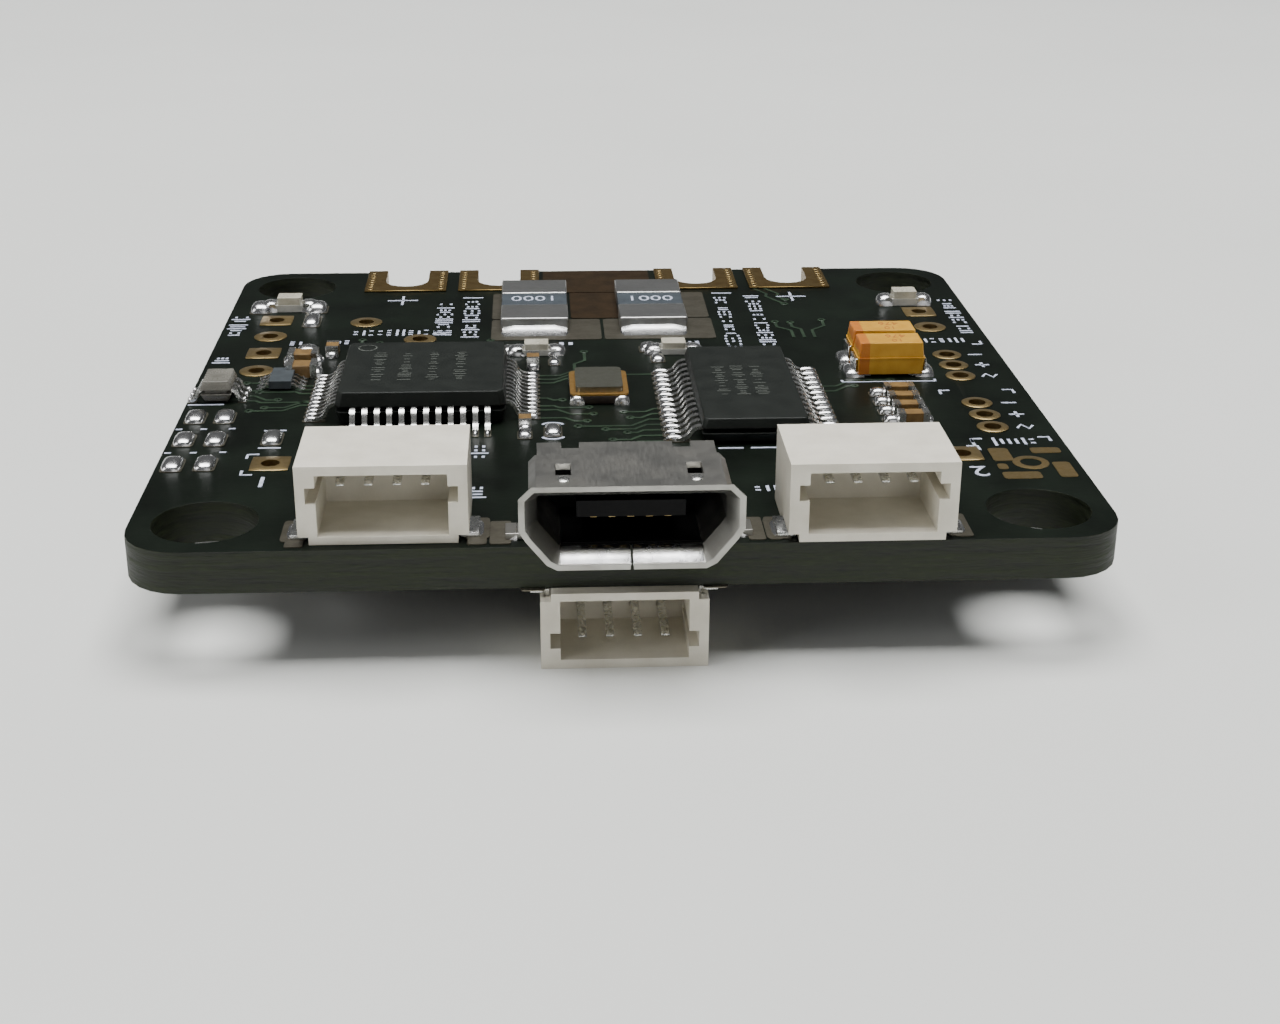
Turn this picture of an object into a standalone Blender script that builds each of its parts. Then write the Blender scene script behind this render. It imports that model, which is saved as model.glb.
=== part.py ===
"""Small square control board with power pads, current shunts and side-entry headers.

All lengths below are in millimetres, measured from the centre of the board's top face.
place() turns them into metres and moves the origin to the middle of the underside of the
whole part, so that the part stands on z = 0 with its socket side facing -Y.
"""

import math

import bmesh
import bpy

# Board
BOARD_SIDE = 36.0
BOARD_THICK = 1.6
CORNER_R = 2.2
HOLE_SPACING = 30.5
HOLE_R = 1.93
NOTCH_X = (-9.75, -5.05, 5.05, 9.75)
NOTCH_R = 1.08
NOTCH_DEPTH = 2.95
DRILL_R = 0.42
SEAT_GAP = 0.02

# Plated holes for wires, as (x, y)
WIRE_HOLES = (
    [(-15.6, 9.54 - 2.54 * i) for i in range(4)]
    + [(-11.3, 9.1), (-8.6, 6.3), (-13.6, -9.55), (13.6, -9.55)]
    + [(15.55, 9.87), (15.6, 7.33)]
    + [(15.55, 3.05 - 1.5 * i) for i in range(3)]
    + [(15.5, -3.55 - 1.5 * i) for i in range(3)]
)

# Power pads
PAD_W = 4.1
PAD_LEN = 3.7
PLATING = 0.08

# Side-entry headers: 1.0 mm pitch, four ways
HEADER_W = 6.0
HEADER_D = 4.1
HEADER_H = 2.95
HEADER_PITCH = 1.0
HEADER_PIN_Z = 2.0
HEADERS = {
    "left": (-8.66, -13.5, 1),
    "right": (8.6, -13.95, 1),
    "lower": (-0.2, -14.4, -1),
}

# USB receptacle
USB_REAR = -14.25
USB_LIP = -18.75
USB_FRONT = -19.5
USB_WALL = 0.26
USB_HALF = ((3.30, 2.50), (3.55, 2.25), (3.55, 1.30), (3.38, 1.02), (2.72, 0.20), (2.50, 0.08))
USB_PITCH = 0.65

# Origin of the finished part, in the board's own millimetres
ORIGIN_Y = (USB_FRONT + BOARD_SIDE / 2) / 2
ORIGIN_Z = -BOARD_THICK - SEAT_GAP - HEADER_H

COLOURS = {
    "solder_mask": (0.012, 0.020, 0.012, 0.35, 0.0),
    "pad_gold": (0.60, 0.42, 0.20, 0.35, 1.0),
    "ivory_nylon": (0.74, 0.71, 0.64, 0.45, 0.0),
    "contact_tin": (0.78, 0.77, 0.74, 0.28, 1.0),
    "usb_steel": (0.48, 0.48, 0.47, 0.40, 1.0),
    "black_nylon": (0.02, 0.02, 0.02, 0.50, 0.0),
    "chip_mould": (0.025, 0.028, 0.026, 0.48, 0.0),
    "crystal_ceramic": (0.62, 0.45, 0.20, 0.40, 0.0),
    "crystal_lid": (0.46, 0.42, 0.35, 0.38, 1.0),
    "shunt_metal": (0.42, 0.41, 0.43, 0.42, 1.0),
    "shunt_coat": (0.055, 0.070, 0.075, 0.55, 0.0),
    "tantalum_mould": (0.80, 0.42, 0.08, 0.45, 0.0),
    "led_body": (0.80, 0.76, 0.68, 0.35, 0.0),
    "grey_mould": (0.20, 0.21, 0.20, 0.45, 0.0),
    "ceramic_tan": (0.42, 0.30, 0.17, 0.45, 0.0),
    "inductor_grey": (0.13, 0.13, 0.14, 0.55, 0.0),
}


def material(slot):
    """The Principled material of a slot, made on first use."""
    found = bpy.data.materials.get(slot)
    if found:
        return found
    red, green, blue, rough, metal = COLOURS[slot]
    made = bpy.data.materials.new(slot)
    made.use_nodes = True
    shader = made.node_tree.nodes["Principled BSDF"]
    shader.inputs["Base Color"].default_value = (red, green, blue, 1.0)
    shader.inputs["Roughness"].default_value = rough
    shader.inputs["Metallic"].default_value = metal
    return made


def closed(bm):
    """The mesh with its faces turned outwards."""
    bmesh.ops.recalc_face_normals(bm, faces=bm.faces)
    return bm


def loft(loops):
    """A closed body through loops of (x, y, z) points, all with the same number of points."""
    bm = bmesh.new()
    rows = [[bm.verts.new(point) for point in loop] for loop in loops]
    count = len(rows[0])
    for low, high in zip(rows, rows[1:]):
        for i in range(count):
            j = (i + 1) % count
            bm.faces.new((low[i], low[j], high[j], high[i]))
    bm.faces.new(list(reversed(rows[0])))
    bm.faces.new(rows[-1])
    return closed(bm)


def prism(outline, z0, z1):
    """An (x, y) outline extruded from z0 to z1."""
    return loft([[(x, y, z) for x, y in outline] for z in (z0, z1)])


def prism_x(outline, x0, x1):
    """A (y, z) outline extruded from x0 to x1."""
    return loft([[(x, y, z) for y, z in outline] for x in (x0, x1)])


def prism_y(outline, y0, y1):
    """An (x, z) outline extruded from y0 to y1."""
    return loft([[(x, y, z) for x, z in outline] for y in (y0, y1)])


def box(x0, x1, y0, y1, z0, z1):
    return prism([(x0, y0), (x1, y0), (x1, y1), (x0, y1)], z0, z1)


def arc(cx, cy, radius, start, end, steps):
    """Points of a circular arc, angles in degrees."""
    turn = math.radians(end - start) / steps
    first = math.radians(start)
    angles = [first + turn * i for i in range(steps + 1)]
    return [(cx + radius * math.cos(a), cy + radius * math.sin(a)) for a in angles]


def cylinder(cx, cy, radius, z0, z1, steps):
    return prism(arc(cx, cy, radius, 0, 360, steps)[:-1], z0, z1)


def chamfered(cx, cy, half_x, half_y, cut):
    """A rectangle with its corners cut off, as eight (x, y) points."""
    signs = ((1, 1), (-1, 1), (-1, -1), (1, -1))
    points = []
    for sx, sy in signs:
        first = (cx + sx * half_x, cy + sy * (half_y - cut))
        second = (cx + sx * (half_x - cut), cy + sy * half_y)
        points += [first, second] if sx * sy > 0 else [second, first]
    return points


def joined(parts):
    """Several bodies in one mesh."""
    whole = bmesh.new()
    for part in parts:
        spare = bpy.data.meshes.new("spare")
        part.to_mesh(spare)
        part.free()
        whole.from_mesh(spare)
        bpy.data.meshes.remove(spare)
    return whole


def to_object(name, bm):
    mesh = bpy.data.meshes.new(name)
    bm.to_mesh(mesh)
    bm.free()
    obj = bpy.data.objects.new(name, mesh)
    bpy.context.scene.collection.objects.link(obj)
    return obj


def combine(obj, bm, operation):
    """Adds or cuts away the bodies in bm, which don't meet one another."""
    tool = to_object("tool", bm)
    tool.hide_render = True
    tool.display_type = "WIRE"
    step = obj.modifiers.new(operation.lower(), "BOOLEAN")
    step.operation = operation
    step.solver = "EXACT"
    step.object = tool
    graph = bpy.context.evaluated_depsgraph_get()
    shaped = bpy.data.meshes.new_from_object(obj.evaluated_get(graph))
    obj.modifiers.clear()
    old = obj.data
    obj.data = shaped
    bpy.data.meshes.remove(old)
    spare = tool.data
    bpy.data.objects.remove(tool)
    bpy.data.meshes.remove(spare)


def place(obj, slot, smooth=False):
    """Gives the finished body its material, its place and its size in metres."""
    mesh = obj.data
    mesh.name = obj.name
    for vertex in mesh.vertices:
        x, y, z = vertex.co
        vertex.co = (x * 0.001, (y - ORIGIN_Y) * 0.001, (z - ORIGIN_Z) * 0.001)
    for polygon in mesh.polygons:
        polygon.use_smooth = smooth
    mesh.materials.clear()
    mesh.materials.append(material(slot))


def piece(name, slot, bm, add=None, cut=None):
    """One sub-part: a body, with bodies added to it and then cut from it."""
    obj = to_object(name, bm)
    if add:
        combine(obj, joined(add), "UNION")
    if cut:
        combine(obj, joined(cut), "DIFFERENCE")
    place(obj, slot)
    return obj


def notch_path(cx, radius, steps):
    """The U of one edge notch, from its right-hand end to its left-hand end."""
    edge = BOARD_SIDE / 2
    floor = edge - NOTCH_DEPTH + NOTCH_R
    bend = arc(cx, floor, radius, 0, -180, steps)
    return [(cx + radius, edge)] + bend + [(cx - radius, edge)]


def board_outline():
    """The board's edge, anticlockwise, with its round corners and its four notches."""
    edge = BOARD_SIDE / 2
    mid = edge - CORNER_R
    points = []
    points += arc(-mid, -mid, CORNER_R, 180, 270, 6)
    points += arc(mid, -mid, CORNER_R, 270, 360, 6)
    points += arc(mid, mid, CORNER_R, 0, 90, 6)
    for cx in reversed(NOTCH_X):
        points += notch_path(cx, NOTCH_R + PLATING + 0.02, 8)
    points += arc(-mid, mid, CORNER_R, 90, 180, 6)
    return points


def build_board():
    half = HOLE_SPACING / 2
    low, high = -BOARD_THICK - 1, 1
    drills = []
    for sx in (-1, 1):
        for sy in (-1, 1):
            drills.append(cylinder(sx * half, sy * half, HOLE_R, low, high, 32))
    for x, y in WIRE_HOLES:
        drills.append(cylinder(x, y, DRILL_R, low, high, 8))
    piece("circuit_board", "solder_mask", prism(board_outline(), -BOARD_THICK, 0), cut=drills)


def build_power_pads():
    """Each pad is one plating: a land on both faces joined through its edge notch."""
    edge = BOARD_SIDE / 2
    for number, cx in enumerate(NOTCH_X, 1):
        inner = notch_path(cx, NOTCH_R, 8)
        outer = notch_path(cx, NOTCH_R + PLATING, 8)
        lining = inner + list(reversed(outer))
        left, right = cx - PAD_W / 2, cx + PAD_W / 2
        back = edge - PAD_LEN
        land = inner + [(left, edge), (left, back), (right, back), (right, edge)]
        top = prism(land, 0.01, 0.01 + PLATING)
        bottom = prism(land, -BOARD_THICK - 0.01 - PLATING, -BOARD_THICK - 0.01)
        wall = prism(lining, -BOARD_THICK - 0.05, 0.05)
        piece(f"power_pad_{number}", "pad_gold", wall, add=[top, bottom])


def header_spot(vertices, spot):
    """Moves a header's vertices from its own frame to its side of the board."""
    cx, rear, side = spot
    for vertex in vertices:
        x, y, z = vertex.co
        if side > 0:
            vertex.co = (cx + x, rear + y, SEAT_GAP + z)
        else:
            vertex.co = (cx - x, rear + y, -BOARD_THICK - SEAT_GAP - z)


def build_header(name, spot):
    half, depth = HEADER_W / 2, HEADER_D
    ways = [HEADER_PITCH * (i - 1.5) for i in range(4)]
    pin = HEADER_PIN_Z
    cuts = [box(-2.3, 2.3, -depth - 1, -0.75, 0.3, 2.6)]
    keys = []
    for side in (-1, 1):
        x0, x1 = sorted((side * 2.2, side * 2.66))
        keys.append(box(x0, x1, -depth - 1, -0.9, 1.55, 2.15))
        x0, x1 = sorted((side * 2.62, side * 3.2))
        cuts.append(box(x0, x1, -depth - 1, -1.95, -0.2, 0.3))
        x0, x1 = sorted((side * 2.64, side * 2.86))
        keys.append(box(x0, x1, -3.62, -2.03, 0.2, 1.22))
    slots = [box(x - 0.165, x + 0.165, -0.9, 0.1, pin - 0.12, pin + 0.12) for x in ways]
    housing = to_object(f"header_{name}_housing", box(-half, half, -depth, 0, 0, HEADER_H))
    combine(housing, joined(cuts), "DIFFERENCE")
    combine(housing, joined(keys), "DIFFERENCE")
    combine(housing, joined(slots), "DIFFERENCE")
    header_spot(housing.data.vertices, spot)
    place(housing, "ivory_nylon")
    profile = [
        (-3.25, pin - 0.1),
        (0.08, pin - 0.1),
        (0.08, 0.14),
        (0.2, 0.0),
        (0.75, 0.0),
        (0.75, 0.2),
        (0.30, 0.2),
        (0.28, pin),
        (0.18, pin + 0.1),
        (-3.25, pin + 0.1),
        (-3.45, pin + 0.04),
        (-3.45, pin - 0.04),
    ]
    for number, x in enumerate(ways, 1):
        strip = prism_x(profile, x - 0.15, x + 0.15)
        header_spot(strip.verts, spot)
        piece(f"header_{name}_contact_{number}", "contact_tin", closed(strip))
    for label, side in (("a", -1), ("b", 1)):
        hook = [(2.66, 0.0), (3.35, 0.0), (3.35, 0.18), (2.84, 0.18), (2.84, 1.2), (2.66, 1.2)]
        hook = [(side * x, z) for x, z in hook]
        tab = prism_y(hook, -3.6, -2.05)
        header_spot(tab.verts, spot)
        piece(f"header_{name}_tab_{label}", "contact_tin", closed(tab))


def grown(points, amount):
    """The outline moved out by amount along its edges' normals."""
    count = len(points)
    moved = []
    for i in range(count):
        (ax, ay), (bx, by), (cx, cy) = points[i - 1], points[i], points[(i + 1) % count]
        ux, uy = bx - ax, by - ay
        vx, vy = cx - bx, cy - by
        ul, vl = math.hypot(ux, uy), math.hypot(vx, vy)
        nx, ny = uy / ul, -ux / ul
        mx, my = vy / vl, -vx / vl
        scale = amount / (1 + nx * mx + ny * my)
        moved.append((bx + (nx + mx) * scale, by + (ny + my) * scale))
    return moved


def build_usb():
    left = [(-x, z) for x, z in reversed(USB_HALF)]
    outer = left + list(USB_HALF)
    outer.reverse()
    inner = grown(outer, -USB_WALL)
    flare_out = grown(outer, 0.36)
    flare_in = grown(inner, 0.40)
    stations = [(USB_REAR, outer, inner), (USB_LIP, outer, inner), (USB_FRONT, flare_out, flare_in)]
    loops = [[(x, y, z) for x, z in out] for y, out, _ in stations]
    loops += [[(x, y, z) for x, z in into] for y, _, into in reversed(stations)]
    bm = bmesh.new()
    rows = [[bm.verts.new(point) for point in loop] for loop in loops]
    count = len(outer)
    for k in range(len(rows)):
        low, high = rows[k], rows[(k + 1) % len(rows)]
        for i in range(count):
            j = (i + 1) % count
            bm.faces.new((low[i], low[j], high[j], high[i]))
    shell = to_object("usb_shell", closed(bm))
    feet = []
    for side in (-1, 1):
        hook = [(3.31, 0.02), (4.4, 0.02), (4.4, 0.26), (3.54, 0.26), (3.54, 1.4), (3.31, 1.4)]
        feet.append(prism_y([(side * x, z) for x, z in hook], -17.4, -16.4))
    combine(shell, joined(feet), "UNION")
    cuts = [box(-0.05, 0.05, USB_FRONT - 1, USB_REAR + 1, -1.0, 0.6)]
    for side in (-1, 1):
        x0, x1 = sorted((side * 2.05, side * 2.6))
        cuts.append(box(x0, x1, -17.5, -16.4, 2.0, 3.0))
        x0, x1 = sorted((side * 1.7, side * 2.35))
        cuts.append(box(x0, x1, USB_REAR - 0.6, USB_REAR + 1, 2.0, 3.0))
        x0, x1 = sorted((side * 3.24, side * 4.5))
        cuts.append(box(x0, x1, -15.5, USB_REAR + 1, -0.5, 3.0))
    combine(shell, joined(cuts), "DIFFERENCE")
    place(shell, "usb_steel")

    ways = [USB_PITCH * (i - 2) for i in range(5)]
    block = grown(inner, -0.03)
    base = prism_y(block, -15.4, -14.5)
    tongue = box(-1.9, 1.9, -18.6, -15.2, 1.36, 1.96)
    slots = [box(x - 0.14, x + 0.14, -15.5, -14.4, 1.18, 1.37) for x in ways]
    piece("usb_insulator", "black_nylon", base, add=[tongue], cut=slots)
    strip = [
        (-18.3, 1.21),
        (-14.25, 1.21),
        (-14.25, 0.16),
        (-14.15, 0.02),
        (-13.75, 0.02),
        (-13.75, 0.15),
        (-14.05, 0.15),
        (-14.1, 1.25),
        (-14.18, 1.34),
        (-18.3, 1.34),
    ]
    for number, x in enumerate(ways, 1):
        piece(f"usb_contact_{number}", "contact_tin", prism_x(strip, x - 0.12, x + 0.12))


def build_chip(name, size, mid, reach, rows, width, slot):
    """A moulded chip: a case with a groove at mid height, and the lead frame held in it.

    size is the centre's x and y, the half sides and the top. reach is how far the leads
    stand out. rows gives, for each side that has leads, its letter and the leads' places.
    """
    cx, cy, half_x, half_y, top = size
    thick = 0.13
    low, high = mid - thick / 2 - 0.02, mid + thick / 2 + 0.02
    cut = 0.06 * min(half_x, half_y)
    deep = 0.30 * min(half_x, half_y)
    levels = [
        (0.09, -0.16),
        (low, 0.0),
        (low, -deep),
        (high, -deep),
        (high, 0.0),
        (top, -0.12),
    ]
    loops = []
    for z, step in levels:
        outline = chamfered(cx, cy, half_x + step, half_y + step, cut)
        loops.append([(x, y, z) for x, y in outline])
    piece(f"{name}_case", slot, loft(loops))

    z0, z1 = mid - thick / 2, mid + thick / 2
    ring_out = chamfered(cx, cy, half_x - 0.05, half_y - 0.05, cut)
    ring_in = chamfered(cx, cy, half_x - deep + 0.03, half_y - deep + 0.03, cut)
    leads = []
    for side, places in rows:
        edge = half_x if side in "EW" else half_y
        profile = [
            (edge - 0.2, z0 + 0.01),
            (edge + 0.24 * reach, z0 + 0.01),
            (edge + 0.36 * reach, 0.0),
            (edge + reach, 0.0),
            (edge + reach, thick),
            (edge + 0.36 * reach + 0.12, thick),
            (edge + 0.24 * reach + 0.12, z1 - 0.01),
            (edge - 0.2, z1 - 0.01),
        ]
        sign = 1 if side in "EN" else -1
        for along in places:
            loops = []
            for w in (along - width / 2, along + width / 2):
                if side in "EW":
                    loops.append([(cx + sign * r, cy + w, z) for r, z in profile])
                else:
                    loops.append([(cx + w, cy + sign * r, z) for r, z in profile])
            leads.append(loft(loops))
    hole = prism(ring_in, z0 - 1, z1 + 1)
    frame = to_object(f"{name}_leads", prism(ring_out, z0, z1))
    combine(frame, hole, "DIFFERENCE")
    combine(frame, joined(leads), "UNION")
    place(frame, "contact_tin")


def pitched(count, pitch):
    return [pitch * (i - (count - 1) / 2) for i in range(count)]


def build_chips():
    twelve = pitched(12, 0.5)
    sides = [(side, twelve) for side in "EWNS"]
    size = (-7.97, -1.97, 3.5, 3.5, 1.45)
    build_chip("controller", size, 0.74, 1.0, sides, 0.22, "chip_mould")
    sides = [(side, pitched(14, 0.65)) for side in "EW"]
    size = (5.55, -3.4, 2.2, 4.85, 1.12)
    build_chip("display_chip", size, 0.60, 1.0, sides, 0.25, "chip_mould")
    sides = [(side, pitched(3, 0.65)) for side in "EW"]
    size = (-16.72, -1.45, 0.66, 1.0, 0.98)
    build_chip("driver", size, 0.52, 0.46, sides, 0.24, "grey_mould")


def build_crystal():
    cx, cy = -0.55, -1.55
    base = [[(x, y, z) for x, y in chamfered(cx, cy, 1.25, 1.6, 0.16)] for z in (0.03, 0.42)]
    piece("crystal_base", "crystal_ceramic", loft(base))
    steps = ((0.44, 1.12, 1.47), (0.62, 1.12, 1.47), (0.72, 0.98, 1.33))
    lid = [[(x, y, z) for x, y in chamfered(cx, cy, hx, hy, 0.2)] for z, hx, hy in steps]
    piece("crystal_lid", "crystal_lid", loft(lid))


def build_shunts():
    """A folded metal strip with a coated neck between its two end terminals."""
    for name, cx, cy in (("left", -3.25, 10.65), ("right", 2.38, 10.6)):
        ends = [box(cx - 1.6, cx + 1.6, cy - 3.3, cy - 1.0, 0.03, 0.68)]
        ends.append(box(cx - 1.6, cx + 1.6, cy + 1.0, cy + 3.3, 0.03, 0.68))
        neck = box(cx - 1.4, cx + 1.4, cy - 1.5, cy + 1.5, 0.2, 0.5)
        piece(f"shunt_{name}_strip", "shunt_metal", neck, add=ends)
        coat = box(cx - 1.58, cx + 1.58, cy - 0.98, cy + 0.98, 0.06, 0.65)
        bore = box(cx - 1.42, cx + 1.42, cy - 2, cy + 2, 0.18, 0.52)
        piece(f"shunt_{name}_coat", "shunt_coat", coat, cut=[bore])


def build_tantalums():
    for name, cx, cy in (("front", 12.4, 0.68), ("rear", 12.4, 2.55)):
        levels = ((0.15, 1.42, 0.74), (0.8, 1.47, 0.8), (1.6, 1.38, 0.72))
        body = [[(x, y, z) for x, y in chamfered(cx, cy, hx, hy, 0.05)] for z, hx, hy in levels]
        grip = []
        for x in (cx - 1.4, cx + 1.4):
            grip.append(box(x - 0.25, x + 0.25, cy - 0.62, cy + 0.62, 0.7, 0.86))
        piece(f"tantalum_{name}_body", "tantalum_mould", loft(body), cut=grip)
        for label, side in (("anode", -1), ("cathode", 1)):
            hook = [
                (1.2, 0.73),
                (1.5, 0.73),
                (1.5, 0.13),
                (0.85, 0.13),
                (0.85, 0.02),
                (1.6, 0.02),
                (1.6, 0.83),
                (1.2, 0.83),
            ]
            hook = [(cx + side * x, z) for x, z in hook]
            piece(f"tantalum_{name}_{label}", "contact_tin", prism_y(hook, cy - 0.6, cy + 0.6))


def chip_block(cx, cy, long_side, short_side, height, lens):
    """A two-terminal chip with slightly proud end caps; a lens sits a little above them."""
    half, wide = long_side / 2, short_side / 2
    cap = 0.22 * long_side
    middle = height + (0.06 if lens else -0.04)
    outline = [
        (cx - half, 0.02),
        (cx + half, 0.02),
        (cx + half, height),
        (cx + half - cap, height),
        (cx + half - cap, middle),
        (cx - half + cap, middle),
        (cx - half + cap, height),
        (cx - half, height),
    ]
    return prism_y(outline, cy - wide, cy + wide)


def build_small_parts():
    lights = {
        "led_rear_left": (-15.15, 11.4, 1.9, 0.95, 0.66),
        "led_rear_right": (15.05, 11.4, 1.9, 0.95, 0.66),
        "led_mid_left": (-3.19, 4.05, 1.8, 0.9, 0.5),
        "led_mid_right": (3.07, 4.0, 1.8, 0.9, 0.5),
    }
    for name, spec in lights.items():
        piece(name, "led_body", chip_block(*spec, True))
    for name, cx, cy in (("a", -13.62, 2.95), ("b", -13.5, 1.3)):
        piece(f"capacitor_{name}", "ceramic_tan", chip_block(cx, cy, 1.3, 0.9, 0.6, False))


def build_underside():
    """The working parts that can only sit on the face turned down."""
    base = -BOARD_THICK - SEAT_GAP
    sensor = [[(x, y, z) for x, y in chamfered(0.0, 0.0, 1.5, 1.5, 0.1)] for z in (base - 0.85, base)]
    piece("motion_sensor", "chip_mould", loft(sensor))
    regulator = [[(x, y, z) for x, y in chamfered(-6.0, 6.5, 1.5, 1.5, 0.1)] for z in (base - 0.8, base)]
    piece("buck_regulator", "chip_mould", loft(regulator))
    levels = ((base - 2.95, 2.6, 0.6), (base - 0.2, 2.6, 0.6), (base, 2.4, 0.6))
    coil = [[(x, y, z) for x, y in chamfered(0.0, 8.6, h, h, c)] for z, h, c in levels]
    piece("power_inductor", "inductor_grey", loft(coil))


for old in list(bpy.data.objects):
    bpy.data.objects.remove(old, do_unlink=True)

build_board()
build_power_pads()
for header_name, header_place in HEADERS.items():
    build_header(header_name, header_place)
build_usb()
build_chips()
build_crystal()
build_shunts()
build_tantalums()
build_small_parts()
build_underside()
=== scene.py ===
import math
import random

import bmesh
import bpy
from mathutils import Matrix, Vector


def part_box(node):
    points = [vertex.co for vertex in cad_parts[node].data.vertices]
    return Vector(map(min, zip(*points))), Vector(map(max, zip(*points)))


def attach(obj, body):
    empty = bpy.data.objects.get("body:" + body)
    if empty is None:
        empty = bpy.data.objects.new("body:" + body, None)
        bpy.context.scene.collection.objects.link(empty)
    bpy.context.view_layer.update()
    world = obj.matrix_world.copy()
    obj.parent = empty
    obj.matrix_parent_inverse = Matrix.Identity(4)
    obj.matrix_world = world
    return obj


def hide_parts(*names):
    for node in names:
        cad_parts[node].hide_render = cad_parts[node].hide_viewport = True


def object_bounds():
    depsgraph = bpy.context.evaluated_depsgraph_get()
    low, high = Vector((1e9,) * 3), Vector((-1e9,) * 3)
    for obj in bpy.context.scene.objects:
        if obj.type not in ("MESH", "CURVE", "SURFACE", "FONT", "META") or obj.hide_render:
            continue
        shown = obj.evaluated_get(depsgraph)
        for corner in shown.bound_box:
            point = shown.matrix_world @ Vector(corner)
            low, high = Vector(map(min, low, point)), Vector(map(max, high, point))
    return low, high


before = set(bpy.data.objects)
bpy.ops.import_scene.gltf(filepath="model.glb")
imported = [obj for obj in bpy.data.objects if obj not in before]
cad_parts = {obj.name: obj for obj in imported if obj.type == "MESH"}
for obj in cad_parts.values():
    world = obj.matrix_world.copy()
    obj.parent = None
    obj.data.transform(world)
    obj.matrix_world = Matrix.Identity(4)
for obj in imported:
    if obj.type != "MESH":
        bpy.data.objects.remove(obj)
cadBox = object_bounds()
print("frame loaded:", len(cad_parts), "nodes")

# Pieces are drawn in board millimetres: the board's middle, heights from its top face.
mm = 0.001
boardLow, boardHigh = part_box("circuit_board")
thick = (boardHigh.z - boardLow.z) / mm
boardMid = (boardLow + boardHigh) / 2
toRow = Matrix.Translation((boardMid.x, boardMid.y, boardHigh.z)) @ Matrix.Scale(mm, 4)
toBoard = toRow.inverted()


def nodeBox(node):  # lowest and highest corner in board millimetres
    low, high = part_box(node)
    return toBoard @ low, toBoard @ high


class Wire:  # a socket that sums can be written with
    def __init__(self, graph, socket):
        self.graph, self.socket = graph, socket

    def __add__(self, other):
        return self.graph.maths("ADD", self, other)

    __radd__ = __add__

    def __sub__(self, other):
        return self.graph.maths("SUBTRACT", self, other)

    def __rsub__(self, other):
        return self.graph.maths("SUBTRACT", other, self)

    def __mul__(self, other):
        return self.graph.maths("MULTIPLY", self, other)

    __rmul__ = __mul__

    def __gt__(self, other):
        return self.graph.maths("GREATER_THAN", self, other)

    def __lt__(self, other):
        return self.graph.maths("LESS_THAN", self, other)


class Graph:  # adds nodes to a tree
    def __init__(self, tree):
        self.tree = tree

    def node(self, kind, settings=None, sockets=None):
        made = self.tree.nodes.new(kind)
        for key, value in (settings or {}).items():
            setattr(made, key, value)
        for key, value in (sockets or {}).items():
            self.feed(made.inputs[key], value)
        return made

    def feed(self, entry, value):  # a wire is linked, a number is written in
        if isinstance(value, Wire):
            self.tree.links.new(value.socket, entry)
        else:
            entry.default_value = value

    def out(self, made, key=0):
        return Wire(self, made.outputs[key])

    def maths(self, operation, a, b):
        return self.out(self.node("ShaderNodeMath", {"operation": operation}, {0: a, 1: b}))


def tone(red, green, blue):  # a colour as it is seen, made linear
    linear = []
    for part in (red, green, blue):
        share = part / 255
        linear.append(share / 12.92 if share < 0.04045 else ((share + 0.055) / 1.055) ** 2.4)
    return (*linear, 1.0)


class Finish(Graph):
    def __init__(self, name):
        self.material = bpy.data.materials.new(name)
        self.material.use_nodes = True
        super().__init__(self.material.node_tree)
        self.tree.nodes.clear()
        self.shader = self.node("ShaderNodeBsdfPrincipled")
        shown = self.node("ShaderNodeOutputMaterial")
        self.tree.links.new(self.shader.outputs[0], shown.inputs["Surface"])
        self.place = self.out(self.node("ShaderNodeTexCoord"), "Object")
        self.height = None

    def where(self, stretch=(1, 1, 1)):  # object coordinates in millimetres
        scale = tuple(part / mm for part in stretch)
        return self.out(self.node("ShaderNodeMapping", None, {"Vector": self.place, "Scale": scale}))

    def noise(self, scale, detail=3, stretch=(1, 1, 1)):
        values = {"Vector": self.where(stretch), "Scale": scale, "Detail": detail}
        return self.out(self.node("ShaderNodeTexNoise", None, values))

    def cells(self, scale, stretch=(1, 1, 1)):
        values = {"Vector": self.where(stretch), "Scale": scale}
        return self.out(self.node("ShaderNodeTexVoronoi", None, values), "Distance")

    def fit(self, value, low, high):  # low to high becomes 0 to 1
        return self.out(self.node("ShaderNodeMapRange", None, {0: value, 1: low, 2: high}))

    def blend(self, share, first, second):
        return self.out(self.node("ShaderNodeMix", {"data_type": "RGBA"}, {0: share, 6: first, 7: second}), 2)

    def axis(self, index):
        return self.out(self.node("ShaderNodeSeparateXYZ", None, {0: self.where()}), index)

    def raised(self, height, deep):  # deep is in millimetres
        sockets = {"Height": height, "Distance": deep * mm}
        if self.height:
            sockets["Normal"] = self.height
        self.height = self.out(self.node("ShaderNodeBump", None, sockets))

    def paint(self, **sockets):
        for key, value in sockets.items():
            self.feed(self.shader.inputs[key.replace("_", " ")], value)
        if self.height:
            self.feed(self.shader.inputs["Normal"], self.height)
        return self.material


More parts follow.
